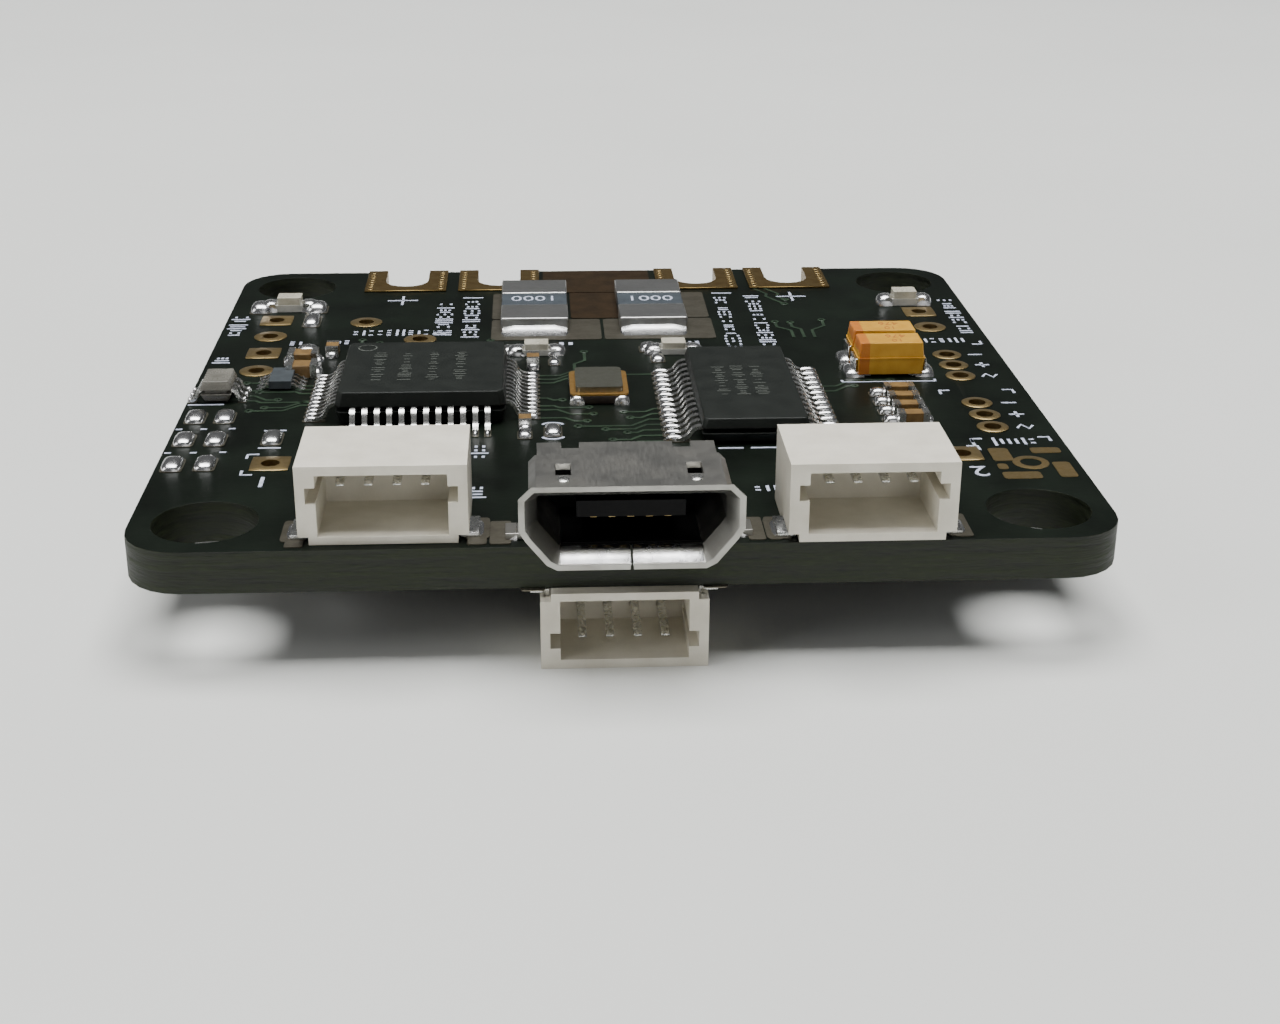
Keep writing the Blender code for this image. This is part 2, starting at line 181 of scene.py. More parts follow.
# Name: light tone, dark tone, size of its patches, roughness from and to, grain and its height in mm,
# then metal share and gloss where they aren't 0 and 0.5.
finishLooks = {
    "powerGold": ((142, 120, 76), (98, 80, 46), 1.6, 0.32, 0.5, 14, 0.003, 1),
    "copperUnderMask": ((50, 66, 50), (30, 41, 31), 0.9, 0.26, 0.38, 9, 0.0012, 0, 0.3),
    "padGold": ((190, 168, 120), (148, 126, 84), 2.2, 0.26, 0.46, 16, 0.003, 1),
    "solder": ((240, 240, 238), (190, 190, 192), 2.6, 0.18, 0.32, 3.5, 0.006, 1),
    "leadTin": ((232, 232, 228), (180, 180, 176), 5, 0.2, 0.36, 10, 0.0012, 1),
    "ivoryNylon": ((226, 221, 207), (205, 199, 183), 0.8, 0.4, 0.56, 16, 0.0025),
    "blackNylon": ((5, 5, 6), (12, 12, 13), 1.5, 0.46, 0.62, 18, 0.003, 0, 0.12),
    "chipMould": ((15, 19, 16), (24, 28, 24), 1.2, 0.42, 0.58, 20, 0.006, 0, 0.25),
    "laserMark": ((76, 80, 74), (56, 60, 55), 6, 0.55, 0.7, 25, 0.002),
    "darkCeramic": ((34, 28, 24), (52, 42, 33), 3, 0.4, 0.6, 20, 0.004),
    "rimGold": ((246, 200, 122), (220, 166, 92), 2.5, 0.28, 0.42, 9, 0.004, 1),
    "lidNickel": ((150, 150, 138), (112, 113, 102), 1.6, 0.3, 0.46, 12, 0.006, 1),
    "shuntTin": ((184, 184, 182), (152, 152, 150), 1.1, 0.28, 0.44, 8, 0.006, 1),
    "slateCoat": ((62, 70, 76), (46, 52, 58), 1.2, 0.42, 0.6, 14, 0.006),
    "legendInk": ((208, 214, 232), (160, 166, 184), 5, 0.5, 0.7, 20, 0.004),
    "brownInk": ((150, 86, 34), (180, 108, 48), 7, 0.5, 0.66, 20, 0.002),
    "tinnedPour": ((124, 120, 107), (88, 84, 73), 1.1, 0.32, 0.5, 7, 0.004, 0.9),
    "copperPour": ((84, 66, 44), (52, 41, 28), 1.1, 0.34, 0.5, 8, 0.003, 0.8),
    "tanCeramic": ((132, 104, 62), (92, 70, 40), 2.5, 0.32, 0.48, 16, 0.003),
    "greyMould": ((66, 72, 76), (48, 53, 56), 2, 0.36, 0.5, 18, 0.003),
    "paleMould": ((122, 120, 112), (88, 86, 79), 1.4, 0.2, 0.36, 14, 0.003),
    "ledLens": ((196, 192, 176), (160, 156, 140), 1.6, 0.18, 0.34, 9, 0.003),
    "ledWhite": ((186, 186, 180), (154, 154, 148), 2, 0.36, 0.5, 14, 0.003),
    "ferrite": ((66, 66, 68), (88, 88, 90), 2, 0.5, 0.7, 9, 0.015),
}


def makeFinish(name):
    light, dark, size, low, high, grain, deep, *rest = finishLooks[name]
    metal, gloss = (rest + [0, 0.5][len(rest):])[:2]
    made = Finish(name)
    patch = made.fit(made.noise(size, 4), 0.32, 0.68)
    fine = made.noise(grain, 2)
    made.raised(fine, deep)
    return made.paint(
        Base_Color=made.blend(patch * 0.7 + fine * 0.3, tone(*light), tone(*dark)),
        Roughness=low + (high - low) * (fine * 0.6 + patch * 0.4),
        Metallic=metal,
        Specular_IOR_Level=gloss,
    )


finishes = {name: makeFinish(name) for name in finishLooks}


def makeMask():  # satin resist, with the weave of the glass showing faintly and a little dust
    made = Finish("solderMask")
    cloud = made.fit(made.noise(0.35, 5), 0.3, 0.7)
    weave = made.cells(3.2, (1, 1, 0)) * 0.5 + made.noise(1.6, 2, (1, 3, 1)) * 0.5
    dust = made.fit(made.noise(11, 2), 0.66, 0.8)
    base = made.blend(cloud, tone(9, 13, 9), tone(17, 24, 17))
    made.raised(weave, 0.003)
    made.raised(made.noise(14, 2), 0.0015)
    return made.paint(
        Base_Color=made.blend(dust * 0.22, base, tone(96, 98, 88)),
        Roughness=0.33 + cloud * 0.1 + dust * 0.3,
        Specular_IOR_Level=0.12,
    )


def makeLaminate():  # the cut edge: stacked glass cloth in dark resin, routed in short scallops
    made = Finish("laminateEdge")
    plies = made.noise(2.2, 4, (0.14, 0.14, 1.9))
    fibres = made.noise(6, 3, (0.3, 0.3, 2))
    chips = made.fit(made.cells(2.4, (1, 1, 1.6)), 0.1, 0.55)
    share = made.fit(plies * 0.6 + fibres * 0.4, 0.38, 0.66)
    base = made.blend(share, tone(9, 13, 6), tone(40, 48, 26))
    made.raised(plies, 0.05)
    made.raised(fibres, 0.02)
    return made.paint(
        Base_Color=made.blend(chips * 0.35, base, tone(24, 28, 17)),
        Roughness=0.46 + share * 0.24,
        Specular_IOR_Level=0.35,
    )


def makeSteel():  # plated shell, drawn lines along its length and soft stains
    made = Finish("shellSteel")
    drawn = made.noise(6, 3, (3, 0.25, 3))
    stain = made.fit(made.noise(0.8, 4), 0.35, 0.7)
    made.raised(drawn, 0.004)
    made.raised(made.noise(16, 2), 0.002)
    return made.paint(
        Base_Color=made.blend(stain, tone(176, 175, 170), tone(150, 148, 142)),
        Roughness=0.26 + drawn * 0.12 + stain * 0.1,
        Metallic=1,
    )


def makeTantalum():  # orange moulding with its darker end band
    made = Finish("orangeMould")
    left = nodeBox("tantalum_front_body")[0].x
    across = made.axis(0) + made.noise(5, 2) * 0.04
    band = (across > left + 0.06) * (across < left + 0.52)
    cloud = made.fit(made.noise(1.3, 4), 0.3, 0.7)
    base = made.blend(cloud, tone(200, 152, 54), tone(182, 132, 38))
    made.raised(made.noise(13, 3), 0.008)
    return made.paint(
        Base_Color=made.blend(band * 0.75, base, tone(176, 90, 36)),
        Roughness=0.38 + cloud * 0.14,
        Specular_IOR_Level=0.3,
    )


def makeFloor():  # keeps its brightness out to the horizon, where the lamps no longer reach
    made = Finish("paleFloor")
    cloud = made.fit(made.noise(0.02, 3), 0.3, 0.7)
    away = made.out(made.node("ShaderNodeVectorMath", {"operation": "LENGTH"}, {0: made.place}), "Value")
    lampShare = made.maths("DIVIDE", 1, 1 + away * away * 8.6)  # a lamp 0.34 m up
    lost = 1 - lampShare * lampShare
    made.raised(made.noise(0.9, 2), 0.02)
    return made.paint(
        Base_Color=made.blend(cloud, tone(224, 225, 221), tone(216, 217, 213)),
        Roughness=0.62 + cloud * 0.1,
        Emission_Color=made.blend(lost, (0, 0, 0, 1), (0.56, 0.565, 0.56, 1)),
        Emission_Strength=1,
    )


finishes.update(
    floor=makeFloor(), solderMask=makeMask(), laminate=makeLaminate(),
    shellSteel=makeSteel(), orangeMould=makeTantalum(),
)
print("finishes made:", len(finishes))


# Mesh helpers, all in board millimetres.

def prism(outline, low, high):
    bm = bmesh.new()
    under = [bm.verts.new((x, y, low)) for x, y in outline]
    over = [bm.verts.new((x, y, high)) for x, y in outline]
    bm.faces.new(list(reversed(under)))
    bm.faces.new(over)
    for i in range(len(outline)):
        j = (i + 1) % len(outline)
        bm.faces.new((under[i], under[j], over[j], over[i]))
    return bm


def roundedRect(mid, wide, long, radius, steps=3):
    points = []
    for sx, sy, start in ((1, 1, 0), (-1, 1, 90), (-1, -1, 180), (1, -1, 270)):
        for i in range(steps + 1):
            a = math.radians(start + 90 * i / steps)
            x = mid[0] + sx * (wide / 2 - radius) + radius * math.cos(a)
            y = mid[1] + sy * (long / 2 - radius) + radius * math.sin(a)
            points.append((x, y))
    return points


def block(low, high):
    corners = [(low[0], low[1]), (high[0], low[1]), (high[0], high[1]), (low[0], high[1])]
    return prism(corners, low[2], high[2])


def together(parts, indices=None):
    whole = bmesh.new()
    for number, part in enumerate(parts):
        if indices:
            for face in part.faces:
                face.material_index = indices[number]
        mesh = bpy.data.meshes.new("part")
        part.to_mesh(mesh)
        part.free()
        whole.from_mesh(mesh)
        bpy.data.meshes.remove(mesh)
    return whole


def softened(bm, width, segments=2, angle=28):
    limit = math.radians(angle)
    sharp = [e for e in bm.edges if len(e.link_faces) == 2 and e.calc_face_angle() > limit]
    bmesh.ops.bevel(
        bm, geom=sharp, offset=width, offset_type="OFFSET", segments=segments,
        profile=0.5, affect="EDGES", clamp_overlap=True,
    )
    return bm


def lofted(loops):  # a closed solid through loops of points
    bm = bmesh.new()
    rows = [[bm.verts.new(point) for point in loop] for loop in loops]
    bm.faces.new(rows[0])
    bm.faces.new(list(reversed(rows[-1])))
    for a, b in zip(rows, rows[1:]):
        for j in range(len(a)):
            k = (j + 1) % len(a)
            bm.faces.new((a[j], b[j], b[k], a[k]))
    bmesh.ops.recalc_face_normals(bm, faces=bm.faces)
    return bm


def cadCopy(node):  # the node's shape as a clean mesh
    bm = bmesh.new()
    bm.from_mesh(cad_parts[node].data)
    bmesh.ops.transform(bm, matrix=toBoard, verts=bm.verts)
    bmesh.ops.remove_doubles(bm, verts=bm.verts, dist=0.001)
    bmesh.ops.dissolve_limit(bm, angle_limit=math.radians(2), verts=bm.verts, edges=bm.edges)
    for face in bm.faces:
        face.material_index = 0
    return bm


def evaluated(thing):
    return bpy.data.meshes.new_from_object(thing.evaluated_get(bpy.context.evaluated_depsgraph_get()))


def finished(name, bm, finishNames, replaced=(), smooth=38):
    mesh = bpy.data.meshes.new(name)
    bm.to_mesh(mesh)
    bm.free()
    return finishedMesh(name, mesh, finishNames, replaced, smooth)


def finishedMesh(name, mesh, finishNames, replaced=(), smooth=38):
    mesh.transform(toRow)
    if mesh.materials:
        mesh.materials.clear()
    for key in finishNames:
        mesh.materials.append(finishes[key])
    mesh.shade_smooth()
    mesh.set_sharp_from_angle(angle=math.radians(smooth))
    piece = bpy.data.objects.new(name, mesh)
    bpy.context.scene.collection.objects.link(piece)
    weigh = piece.modifiers.new("weigh", "WEIGHTED_NORMAL")
    weigh.keep_sharp = True
    even = evaluated(piece)
    piece.modifiers.clear()
    piece.data = even
    bpy.data.meshes.remove(mesh)
    even.name = name
    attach(piece, "root")
    if replaced:
        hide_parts(*replaced)
    return piece


# Geometry Nodes trees, all in board millimetres.

def startTree(name, inputs):
    tree = bpy.data.node_groups.new(name, "GeometryNodeTree")
    tree.interface.new_socket("Geometry", in_out="INPUT", socket_type="NodeSocketGeometry")
    for label, kind in inputs:
        tree.interface.new_socket(label, in_out="INPUT", socket_type="NodeSocket" + kind)
    tree.interface.new_socket("Geometry", in_out="OUTPUT", socket_type="NodeSocketGeometry")
    graph = Graph(tree)
    entry = graph.node("NodeGroupInput")
    return graph, {socket.name: Wire(graph, socket) for socket in entry.outputs if socket.name}


def endTree(graph, geometry, finish):
    real = graph.node("GeometryNodeRealizeInstances", None, {"Geometry": geometry})
    coated = graph.node("GeometryNodeSetMaterial", None, {"Geometry": graph.out(real), "Material": finish})
    graph.node("NodeGroupOutput", None, {0: graph.out(coated)})
    return graph.tree


def pointValue(graph, name):  # a value kept on each point
    kind = {"data_type": "FLOAT_VECTOR"}
    return graph.out(graph.node("GeometryNodeInputNamedAttribute", kind, {"Name": name}))


def swept(graph, line, width, height):  # a flat bar along a line
    upright = graph.node("GeometryNodeSetCurveNormal", {"mode": "Z_UP"}, {"Curve": line})
    section = graph.node("GeometryNodeCurvePrimitiveQuadrilateral", None, {"Width": width, "Height": height})
    return graph.out(graph.node("GeometryNodeCurveToMesh", None, {
        "Curve": graph.out(upright), "Profile Curve": graph.out(section), "Fill Caps": True,
    }))


def placerTree():  # sets one shape on every point, turned and sized by the point's own values
    graph, given = startTree("placer", [("Shape", "Object"), ("Finish", "Material")])
    shape = graph.node("GeometryNodeObjectInfo", {"transform_space": "ORIGINAL"}, {"Object": given["Shape"]})
    placed = graph.node("GeometryNodeInstanceOnPoints", None, {
        "Points": given["Geometry"], "Instance": graph.out(shape, "Geometry"),
        "Rotation": pointValue(graph, "turn"), "Scale": pointValue(graph, "size"),
    })
    return endTree(graph, graph.out(placed), given["Finish"])


def leadTree():  # a gull-wing lead swept on every point: out of the case, down, and along its pad
    sizes = [(label, "Float") for label in ("Reach", "Rise", "Width", "Gauge")]
    graph, given = startTree("gullWing", sizes + [("Finish", "Material")])
    reach, rise, gauge = given["Reach"], given["Rise"], given["Gauge"]

    def point(x, z):
        return graph.out(graph.node("ShaderNodeCombineXYZ", None, {"X": x, "Z": z}))

    path = graph.node("GeometryNodeCurvePrimitiveBezierSegment", None, {
        "Resolution": 9, "Start": point(reach * -0.1, rise), "Start Handle": point(reach * 0.62, rise),
        "End Handle": point(reach * 0.16, gauge * 0.5), "End": point(reach, gauge * 0.5),
    })
    lead = swept(graph, graph.out(path), given["Width"], gauge)
    rows = graph.node("GeometryNodeInstanceOnPoints", None, {
        "Points": given["Geometry"], "Instance": lead, "Rotation": pointValue(graph, "turn"),
    })
    return endTree(graph, graph.out(rows), given["Finish"])


def strokeTree():  # a flat track along every line
    graph, given = startTree("stroke", [("Width", "Float"), ("Height", "Float"), ("Finish", "Material")])
    return endTree(graph, swept(graph, given["Geometry"], given["Width"], given["Height"]), given["Finish"])


trees = {"placer": placerTree(), "lead": leadTree(), "stroke": strokeTree()}


def grown(treeName, data, values):  # runs a tree on a mesh or a curve and gives a plain mesh
    holder = bpy.data.objects.new("holder", data)
    bpy.context.scene.collection.objects.link(holder)
    run = holder.modifiers.new("grow", "NODES")
    run.node_group = trees[treeName]
    for item in trees[treeName].interface.items_tree:
        if item.in_out == "INPUT" and item.name in values:
            run[item.identifier] = values[item.name]
    holder.update_tag()
    mesh = evaluated(holder)
    bpy.data.objects.remove(holder)
    return mesh


def spotMesh(spots):  # each spot: place, turn in degrees about Z, size, and whether it hangs below
    mesh = bpy.data.meshes.new("spots")
    mesh.from_pydata([spot[0] for spot in spots], [], [])
    turns = mesh.attributes.new("turn", "FLOAT_VECTOR", "POINT")
    sizes = mesh.attributes.new("size", "FLOAT_VECTOR", "POINT")
    for i, (_, turn, size, *below) in enumerate(spots):
        turns.data[i].vector = (math.pi if below and below[0] else 0, 0, math.radians(turn))
        sizes.data[i].vector = size
    return mesh


def placedMesh(shape, spots, finishName):
    mesh = bpy.data.meshes.new("shape")
    shape.to_mesh(mesh)
    mesh.shade_smooth()
    mesh.set_sharp_from_angle(angle=math.radians(38))
    source = bpy.data.objects.new("shape", mesh)
    bpy.context.scene.collection.objects.link(source)
    made = grown("placer", spotMesh(spots), {"Shape": source, "Finish": finishes[finishName]})
    bpy.data.objects.remove(source)
    return made


def placed(name, shape, spots, finishName, slot):
    return finishedMesh(name, placedMesh(shape, spots, finishName), [finishName])


def strokes(lines, wide, high, z, finishName="legendInk"):
    curve = bpy.data.curves.new("lines", "CURVE")
    curve.dimensions = "3D"
    for line in lines:
        spline = curve.splines.new("POLY")
        spline.points.add(len(line) - 1)
        for point, (x, y) in zip(spline.points, line):
            point.co = (x, y, z, 1)
    return grown("stroke", curve, {"Width": wide, "Height": high, "Finish": finishes[finishName]})


def figures(words, place, size, turn=0, deep=0.02, below=False):
    curve = bpy.data.curves.new("figures", "FONT")
    curve.body, curve.size, curve.extrude, curve.resolution_u = words, size, deep / 2, 3
    curve.align_x, curve.align_y = "CENTER", "CENTER"
    holder = bpy.data.objects.new("figures", curve)
    bpy.context.scene.collection.objects.link(holder)
    mesh = evaluated(holder)
    bpy.data.objects.remove(holder)
    flip = Matrix.Rotation(math.pi if below else 0, 4, "X")
    mesh.transform(Matrix.Translation(place) @ flip @ Matrix.Rotation(math.radians(turn), 4, "Z"))
    return mesh


def meshesTogether(meshes):
    whole = bmesh.new()
    for mesh in meshes:
        whole.from_mesh(mesh)
        bpy.data.meshes.remove(mesh)
    for face in whole.faces:
        face.material_index = 0
    bmesh.ops.remove_doubles(whole, verts=whole.verts, dist=0.0005)
    return whole


# Small shapes, one millimetre in size, for the placer.

def domeShape(rings=4, sides=12, square=0.0):  # a solder bead, round or pillow-square
    bm = bmesh.new()
    rows = []
    for i in range(rings):
        a = math.pi / 2 * i / rings
        reach, rise = math.cos(a) ** 0.8, math.sin(a) ** 0.8 if i else 0.0
        ring = roundPoints(0.5 * reach, sides, square * math.cos(a))
        rows.append([bm.verts.new((x, y, rise)) for x, y in ring])
    crown = bm.verts.new((0, 0, 1))
    bm.faces.new(list(reversed(rows[0])))
    for low, high in zip(rows, rows[1:]):
        for j in range(sides):
            k = (j + 1) % sides
            bm.faces.new((low[j], low[k], high[k], high[j]))
    for j in range(sides):
        bm.faces.new((rows[-1][j], rows[-1][(j + 1) % sides], crown))
    return bm


def rampShape(steps=6, taper=0.45):  # a fillet: full height at x 0, sweeping down to its pad at x 1
    rows = []
    for i in range(steps + 1):
        x = i / steps
        z = (1 - x) ** 1.8 * 0.94 + 0.06
        half = 0.5 * (1 - taper * x ** 3)
        rows.append([
            (x, -half, 0), (x, half, 0), (x, half * 0.96, z * 0.55), (x, half * 0.6, z * 0.94),
            (x, -half * 0.6, z * 0.94), (x, -half * 0.96, z * 0.55),
        ])
    return lofted(rows)


def ringShape(outer, hole, high, sides=24, barrel=0.0):  # outer is a list of points round the hole
    bm = bmesh.new()
    inner = roundPoints(hole, sides)
    rows = [
        (outer, 1, 0), (outer, 1, high * 0.6), (outer, 0.94, high),
        (inner, 1, high), (inner, 1, -barrel), (inner, 1.04, -barrel),
    ]
    loops = [[bm.verts.new((x * grow, y * grow, z)) for x, y in points] for points, grow, z in rows]
    loops.append(loops[0])
    for low, up in zip(loops, loops[1:]):
        for i in range(sides):
            j = (i + 1) % sides
            bm.faces.new((low[i], low[j], up[j], up[i]))
    bmesh.ops.recalc_face_normals(bm, faces=bm.faces)
    return bm


def roundPoints(radius, sides=24, square=0.0):
    points = []
    for i in range(sides):
        a = 2 * math.pi * i / sides
        c, s = math.cos(a), math.sin(a)
        grow = 1 / max(abs(c), abs(s)) if square else 1
        grow = 1 + (grow - 1) * square
        points.append((radius * c * grow, radius * s * grow))
    return points


def brickShape(soft=0.12):
    return softened(block((-0.5, -0.5, 0), (0.5, 0.5, 1)), soft)


def padShape():
    return prism(roundedRect((0, 0), 1, 1, 0.12, 2), 0, 1)


plain = (1, 1, 1)  # a shape placed at its own size
skin = 0.002  # how far pads stand off the board, so no two faces share a plane


def eased(name, node, ease, finishName, smooth=38):  # the node's shape with its edges eased
    bm = softened(cadCopy(node), *ease)
    return finished(name, bm, [finishName], [node], smooth)


def ribbon(cuts, deep):  # a bent strip through cuts: x from, x to, y, and z of its upper side
    return lofted([[(a, y, z - deep), (b, y, z - deep), (b, y, z), (a, y, z)] for a, b, y, z in cuts])


def plates(edges, corner, low, high):  # flat plates: x from, x to, y from, y to
    made = []
    for x0, x1, y0, y1 in edges:
        outline = roundedRect(((x0 + x1) / 2, (y0 + y1) / 2), x1 - x0, y1 - y0, corner)
        made.append(prism(outline, low, high))
    return made


def bothFaces(places, over=skin, under=-thick - skin):  # the same spots on top and underneath
    top = [((x, y, over), 0, plain) for x, y in places]
    return top + [((x, y, under), 0, plain, True) for x, y in places]


def outward(mid, reach, shift, turn):  # a point out from the middle, shifted along that side
    a = math.radians(turn)
    x = mid[0] + reach * math.cos(a) - shift * math.sin(a)
    return x, mid[1] + reach * math.sin(a) + shift * math.cos(a)


def rowShifts(count, pitch):
    return [(i - (count - 1) / 2) * pitch for i in range(count)]




# The board: resist on both faces, laminate at the cut edges and big holes, plated wire holes.
board = dict(ease=(0.07, 2, 50), wireHole=0.6, maskFace=0.9)

# Wire holes: x, y, and 1 where the pad is square.
leftWires = [(-15.6, 9.54, 1), (-15.6, 7.0, 0), (-15.6, 4.46, 1), (-15.6, 1.92, 0)]
rightWires = [(15.55, y, 0) for y in (3.05, 1.55, 0.05)] + [(15.5, y, 0) for y in (-3.55, -5.05, -6.55)]
otherWires = [
    (-11.3, 9.1, 0), (-8.6, 6.3, 0), (-13.6, -9.55, 1), (13.6, -9.55, 1), (15.55, 9.87, 1), (15.6, 7.33, 0),
]
wireHoles = [(x, y) for x, y, _ in leftWires + rightWires + otherWires]


def makeBoard():
    bm = softened(cadCopy("circuit_board"), *board["ease"])
    bm.normal_update()
    for face in bm.faces:
        centre = face.calc_center_median()
        nearWire = any(math.hypot(centre.x - x, centre.y - y) < board["wireHole"] for x, y in wireHoles)
        if abs(face.normal.z) > board["maskFace"]:
            face.material_index = 0
        elif nearWire:
            face.material_index = 2
        else:
            face.material_index = 1
    finished("board", bm, ["solderMask", "laminate", "padGold"], ["circuit_board"])


makeBoard()

wirePads = dict(hole=0.36, high=0.05, outer=0.76, small=0.66, barrel=0.8, square=0.9, sides=24)


def makeWirePads():
    meshes = []
    wide = leftWires + otherWires
    for square, outer, wires in ((0, "outer", wide), (0, "small", rightWires), (1, "outer", wide)):
        spots = bothFaces([(x, y) for x, y, isSquare in wires if isSquare == square])
        outline = roundPoints(wirePads[outer], square=square * wirePads["square"])
        shape = ringShape(outline, wirePads["hole"], wirePads["high"], wirePads["sides"], wirePads["barrel"])
        meshes.append(placedMesh(shape, spots, "padGold"))
    finished("wire_pads", meshesTogether(meshes), ["padGold"])


makeWirePads()
print("board and wire pads")

# Power pads keep the node's plating; stitching vias run down both sides of each notch.
power = dict(ease=(0.02, 1, 50), inset=0.28, first=0.35, last=0.3, step=0.42, sides=12)
powerVia = dict(outer=0.17, hole=0.09, high=0.025)


def makePower():
    spots = []
    for number in range(1, 5):
        low, high = nodeBox(f"power_pad_{number}")
        eased(f"power_plating_{number}", f"power_pad_{number}", power["ease"], "powerGold")
        places, y = [], low.y + power["first"]
        while y < high.y - power["last"]:
            places += [(low.x + power["inset"], y), (high.x - power["inset"], y)]
            y += power["step"]
        spots += bothFaces(places, high.z - skin, low.z + skin)
    outline = roundPoints(powerVia["outer"], power["sides"])
    shape = ringShape(outline, powerVia["hole"], powerVia["high"], power["sides"])
    placed("power_vias", shape, spots, "padGold", "pad_gold")


makePower()

# Open metal areas round the shunts: x from, x to, y from, y to, finish.
pours = [
    (-5.3, -0.12, 6.0, 9.22, "tinnedPour"), (0.02, 5.25, 6.0, 9.22, "tinnedPour"),
    (-5.3, -1.62, 9.38, 13.7, "tinnedPour"), (-1.5, 0.85, 9.38, 13.75, "copperPour"),
    (0.95, 5.2, 9.38, 13.7, "tinnedPour"), (-2.8, 2.68, 13.85, 17.86, "copperPour"),
]
frontPads = [(-12.15, -11.5), (-5.75, -5.05), (-4.95, -4.2), (4.25, 4.85), (4.95, 5.45), (11.6, 12.3)]
pourLook = dict(low=0.001, high=0.03, corner=0.18, pads=dict(y=(-17.775, -15.725), corner=0.1, high=0.045))


def makePours():
    low, pads = pourLook["low"], pourLook["pads"]
    for finishName, name in (("tinnedPour", "tinned_pours"), ("copperPour", "copper_pours")):
        edges = [row[:4] for row in pours if row[4] == finishName]
        parts = plates(edges, pourLook["corner"], low, pourLook["high"])
        if finishName == "tinnedPour":
            parts += plates([(*x, *pads["y"]) for x in frontPads], pads["corner"], low, pads["high"])
        finished(name, together(parts), [finishName])


makePours()

# Wire headers: moulded housings with eased edges, tinned contacts and tabs, and their solder.
headers = dict(
    housingEase=(0.05, 2, 40), contactEase=(0.025, 1, 40), tabEase=(0.03, 1, 40),
    pad=(0.55, 1.5, 0.04), padBack=0.1, bead=(0.5, 0.5, 0.3), beadBack=0.06,
    tabPad=(0.9, 1.9, 0.04), tabPadBack=0.1, tabBead=(0.42, 1.4, 0.2), tabBeadBack=0.12,
)


def makeHeaders():
    beads, pads = [], []
    for side in ("left", "right", "lower"):
        housing = f"header_{side}_housing"
        housingLow, housingHigh = nodeBox(housing)
        eased(f"{side}_header_housing", housing, headers["housingEase"], "ivoryNylon")
        below = side == "lower"
        z = -thick - skin if below else skin
        for number in range(1, 5):
            node = f"header_{side}_contact_{number}"
            low, high = nodeBox(node)
            eased(f"{side}_header_contact_{number}", node, headers["contactEase"], "leadTin")
            x = (low.x + high.x) / 2
            pads.append(((x, high.y - headers["padBack"], z), 0, headers["pad"], below))
            beads.append(((x, high.y - headers["beadBack"], z), -90 if below else 90, headers["bead"], below))
        for label in "ab":
            node = f"header_{side}_tab_{label}"
            low, high = nodeBox(node)
            eased(f"{side}_header_tab_{label}", node, headers["tabEase"], "leadTin")
            out = 1 if low.x + high.x > housingLow.x + housingHigh.x else -1
            edge, y = high.x if out > 0 else low.x, (low.y + high.y) / 2
            facing = 0 if out > 0 else 180
            pads.append(((edge - out * headers["tabPadBack"], y, z), 0, headers["tabPad"], below))
            beads.append(((edge - out * headers["tabBeadBack"], y, z), facing, headers["tabBead"], below))
    placed("header_pads", padShape(), pads, "tinnedPour", "contact_tin")
    placed("header_solder", rampShape(), beads, "solder", "contact_tin")


makeHeaders()
print("headers")

# USB socket: folded shell, a black sheet of painted shade over its floor, two-part lower lip, spring fingers in
# its windows, pressed dimples.
usb = dict(
    ease=(0.045, 2, 20), smooth=24, roof=2.5, blockEase=(0.04, 2, 40), contactEase=(0.01, 1, 40),
    # the black sheet of painted shade over the socket's floor, and how far its edges are eased
    shadeSheet=((-2.45, -18.62, 0.335), (2.45, -15.3, 0.42)), shadeSheetEase=(0.03, 1),
    foot=(0.42, 1.2, 0.34), footY=-16.9,
)
lip = dict(
    rear=-18.72, long=0.74, high=0.37, drop=0.4, curve=1.35, crown=0.05, wide=2.5, gap=0.025, deep=0.12,
)
finger = dict(
    x=2.32, front=-17.48, long=0.78, wide=0.36, deep=0.1, start=0.1, drop=0.42, tipUp=0.1, tipAt=0.75,
)
dimple = dict(y=-17.92, size=(0.5, 0.62, 0.09), sink=0.02)


def lipHalf(side):
    cuts = []
    for i in range(9):
        t = i / 8
        z = lip["high"] - lip["drop"] * t ** lip["curve"] + lip["crown"] * math.sin(math.pi * t)
        cuts.append((lip["wide"] * side, lip["gap"] * side, lip["rear"] - lip["long"] * t, z))
    return softened(ribbon(cuts, lip["deep"]), 0.03, 2, 50)


def springFinger(x):  # bends down through its window, its tip turned up again
    cuts = []
    for i in range(8):
        t = i / 7
        tip = finger["tipUp"] * max(0, t - finger["tipAt"]) / (1 - finger["tipAt"])
        half = finger["wide"] / 2 * (1 - 0.2 * t)
        z = usb["roof"] - finger["start"] - finger["drop"] * t ** 1.5 + tip
        cuts.append((x - half, x + half, finger["front"] + finger["long"] * t, z))
    return ribbon(cuts, finger["deep"])


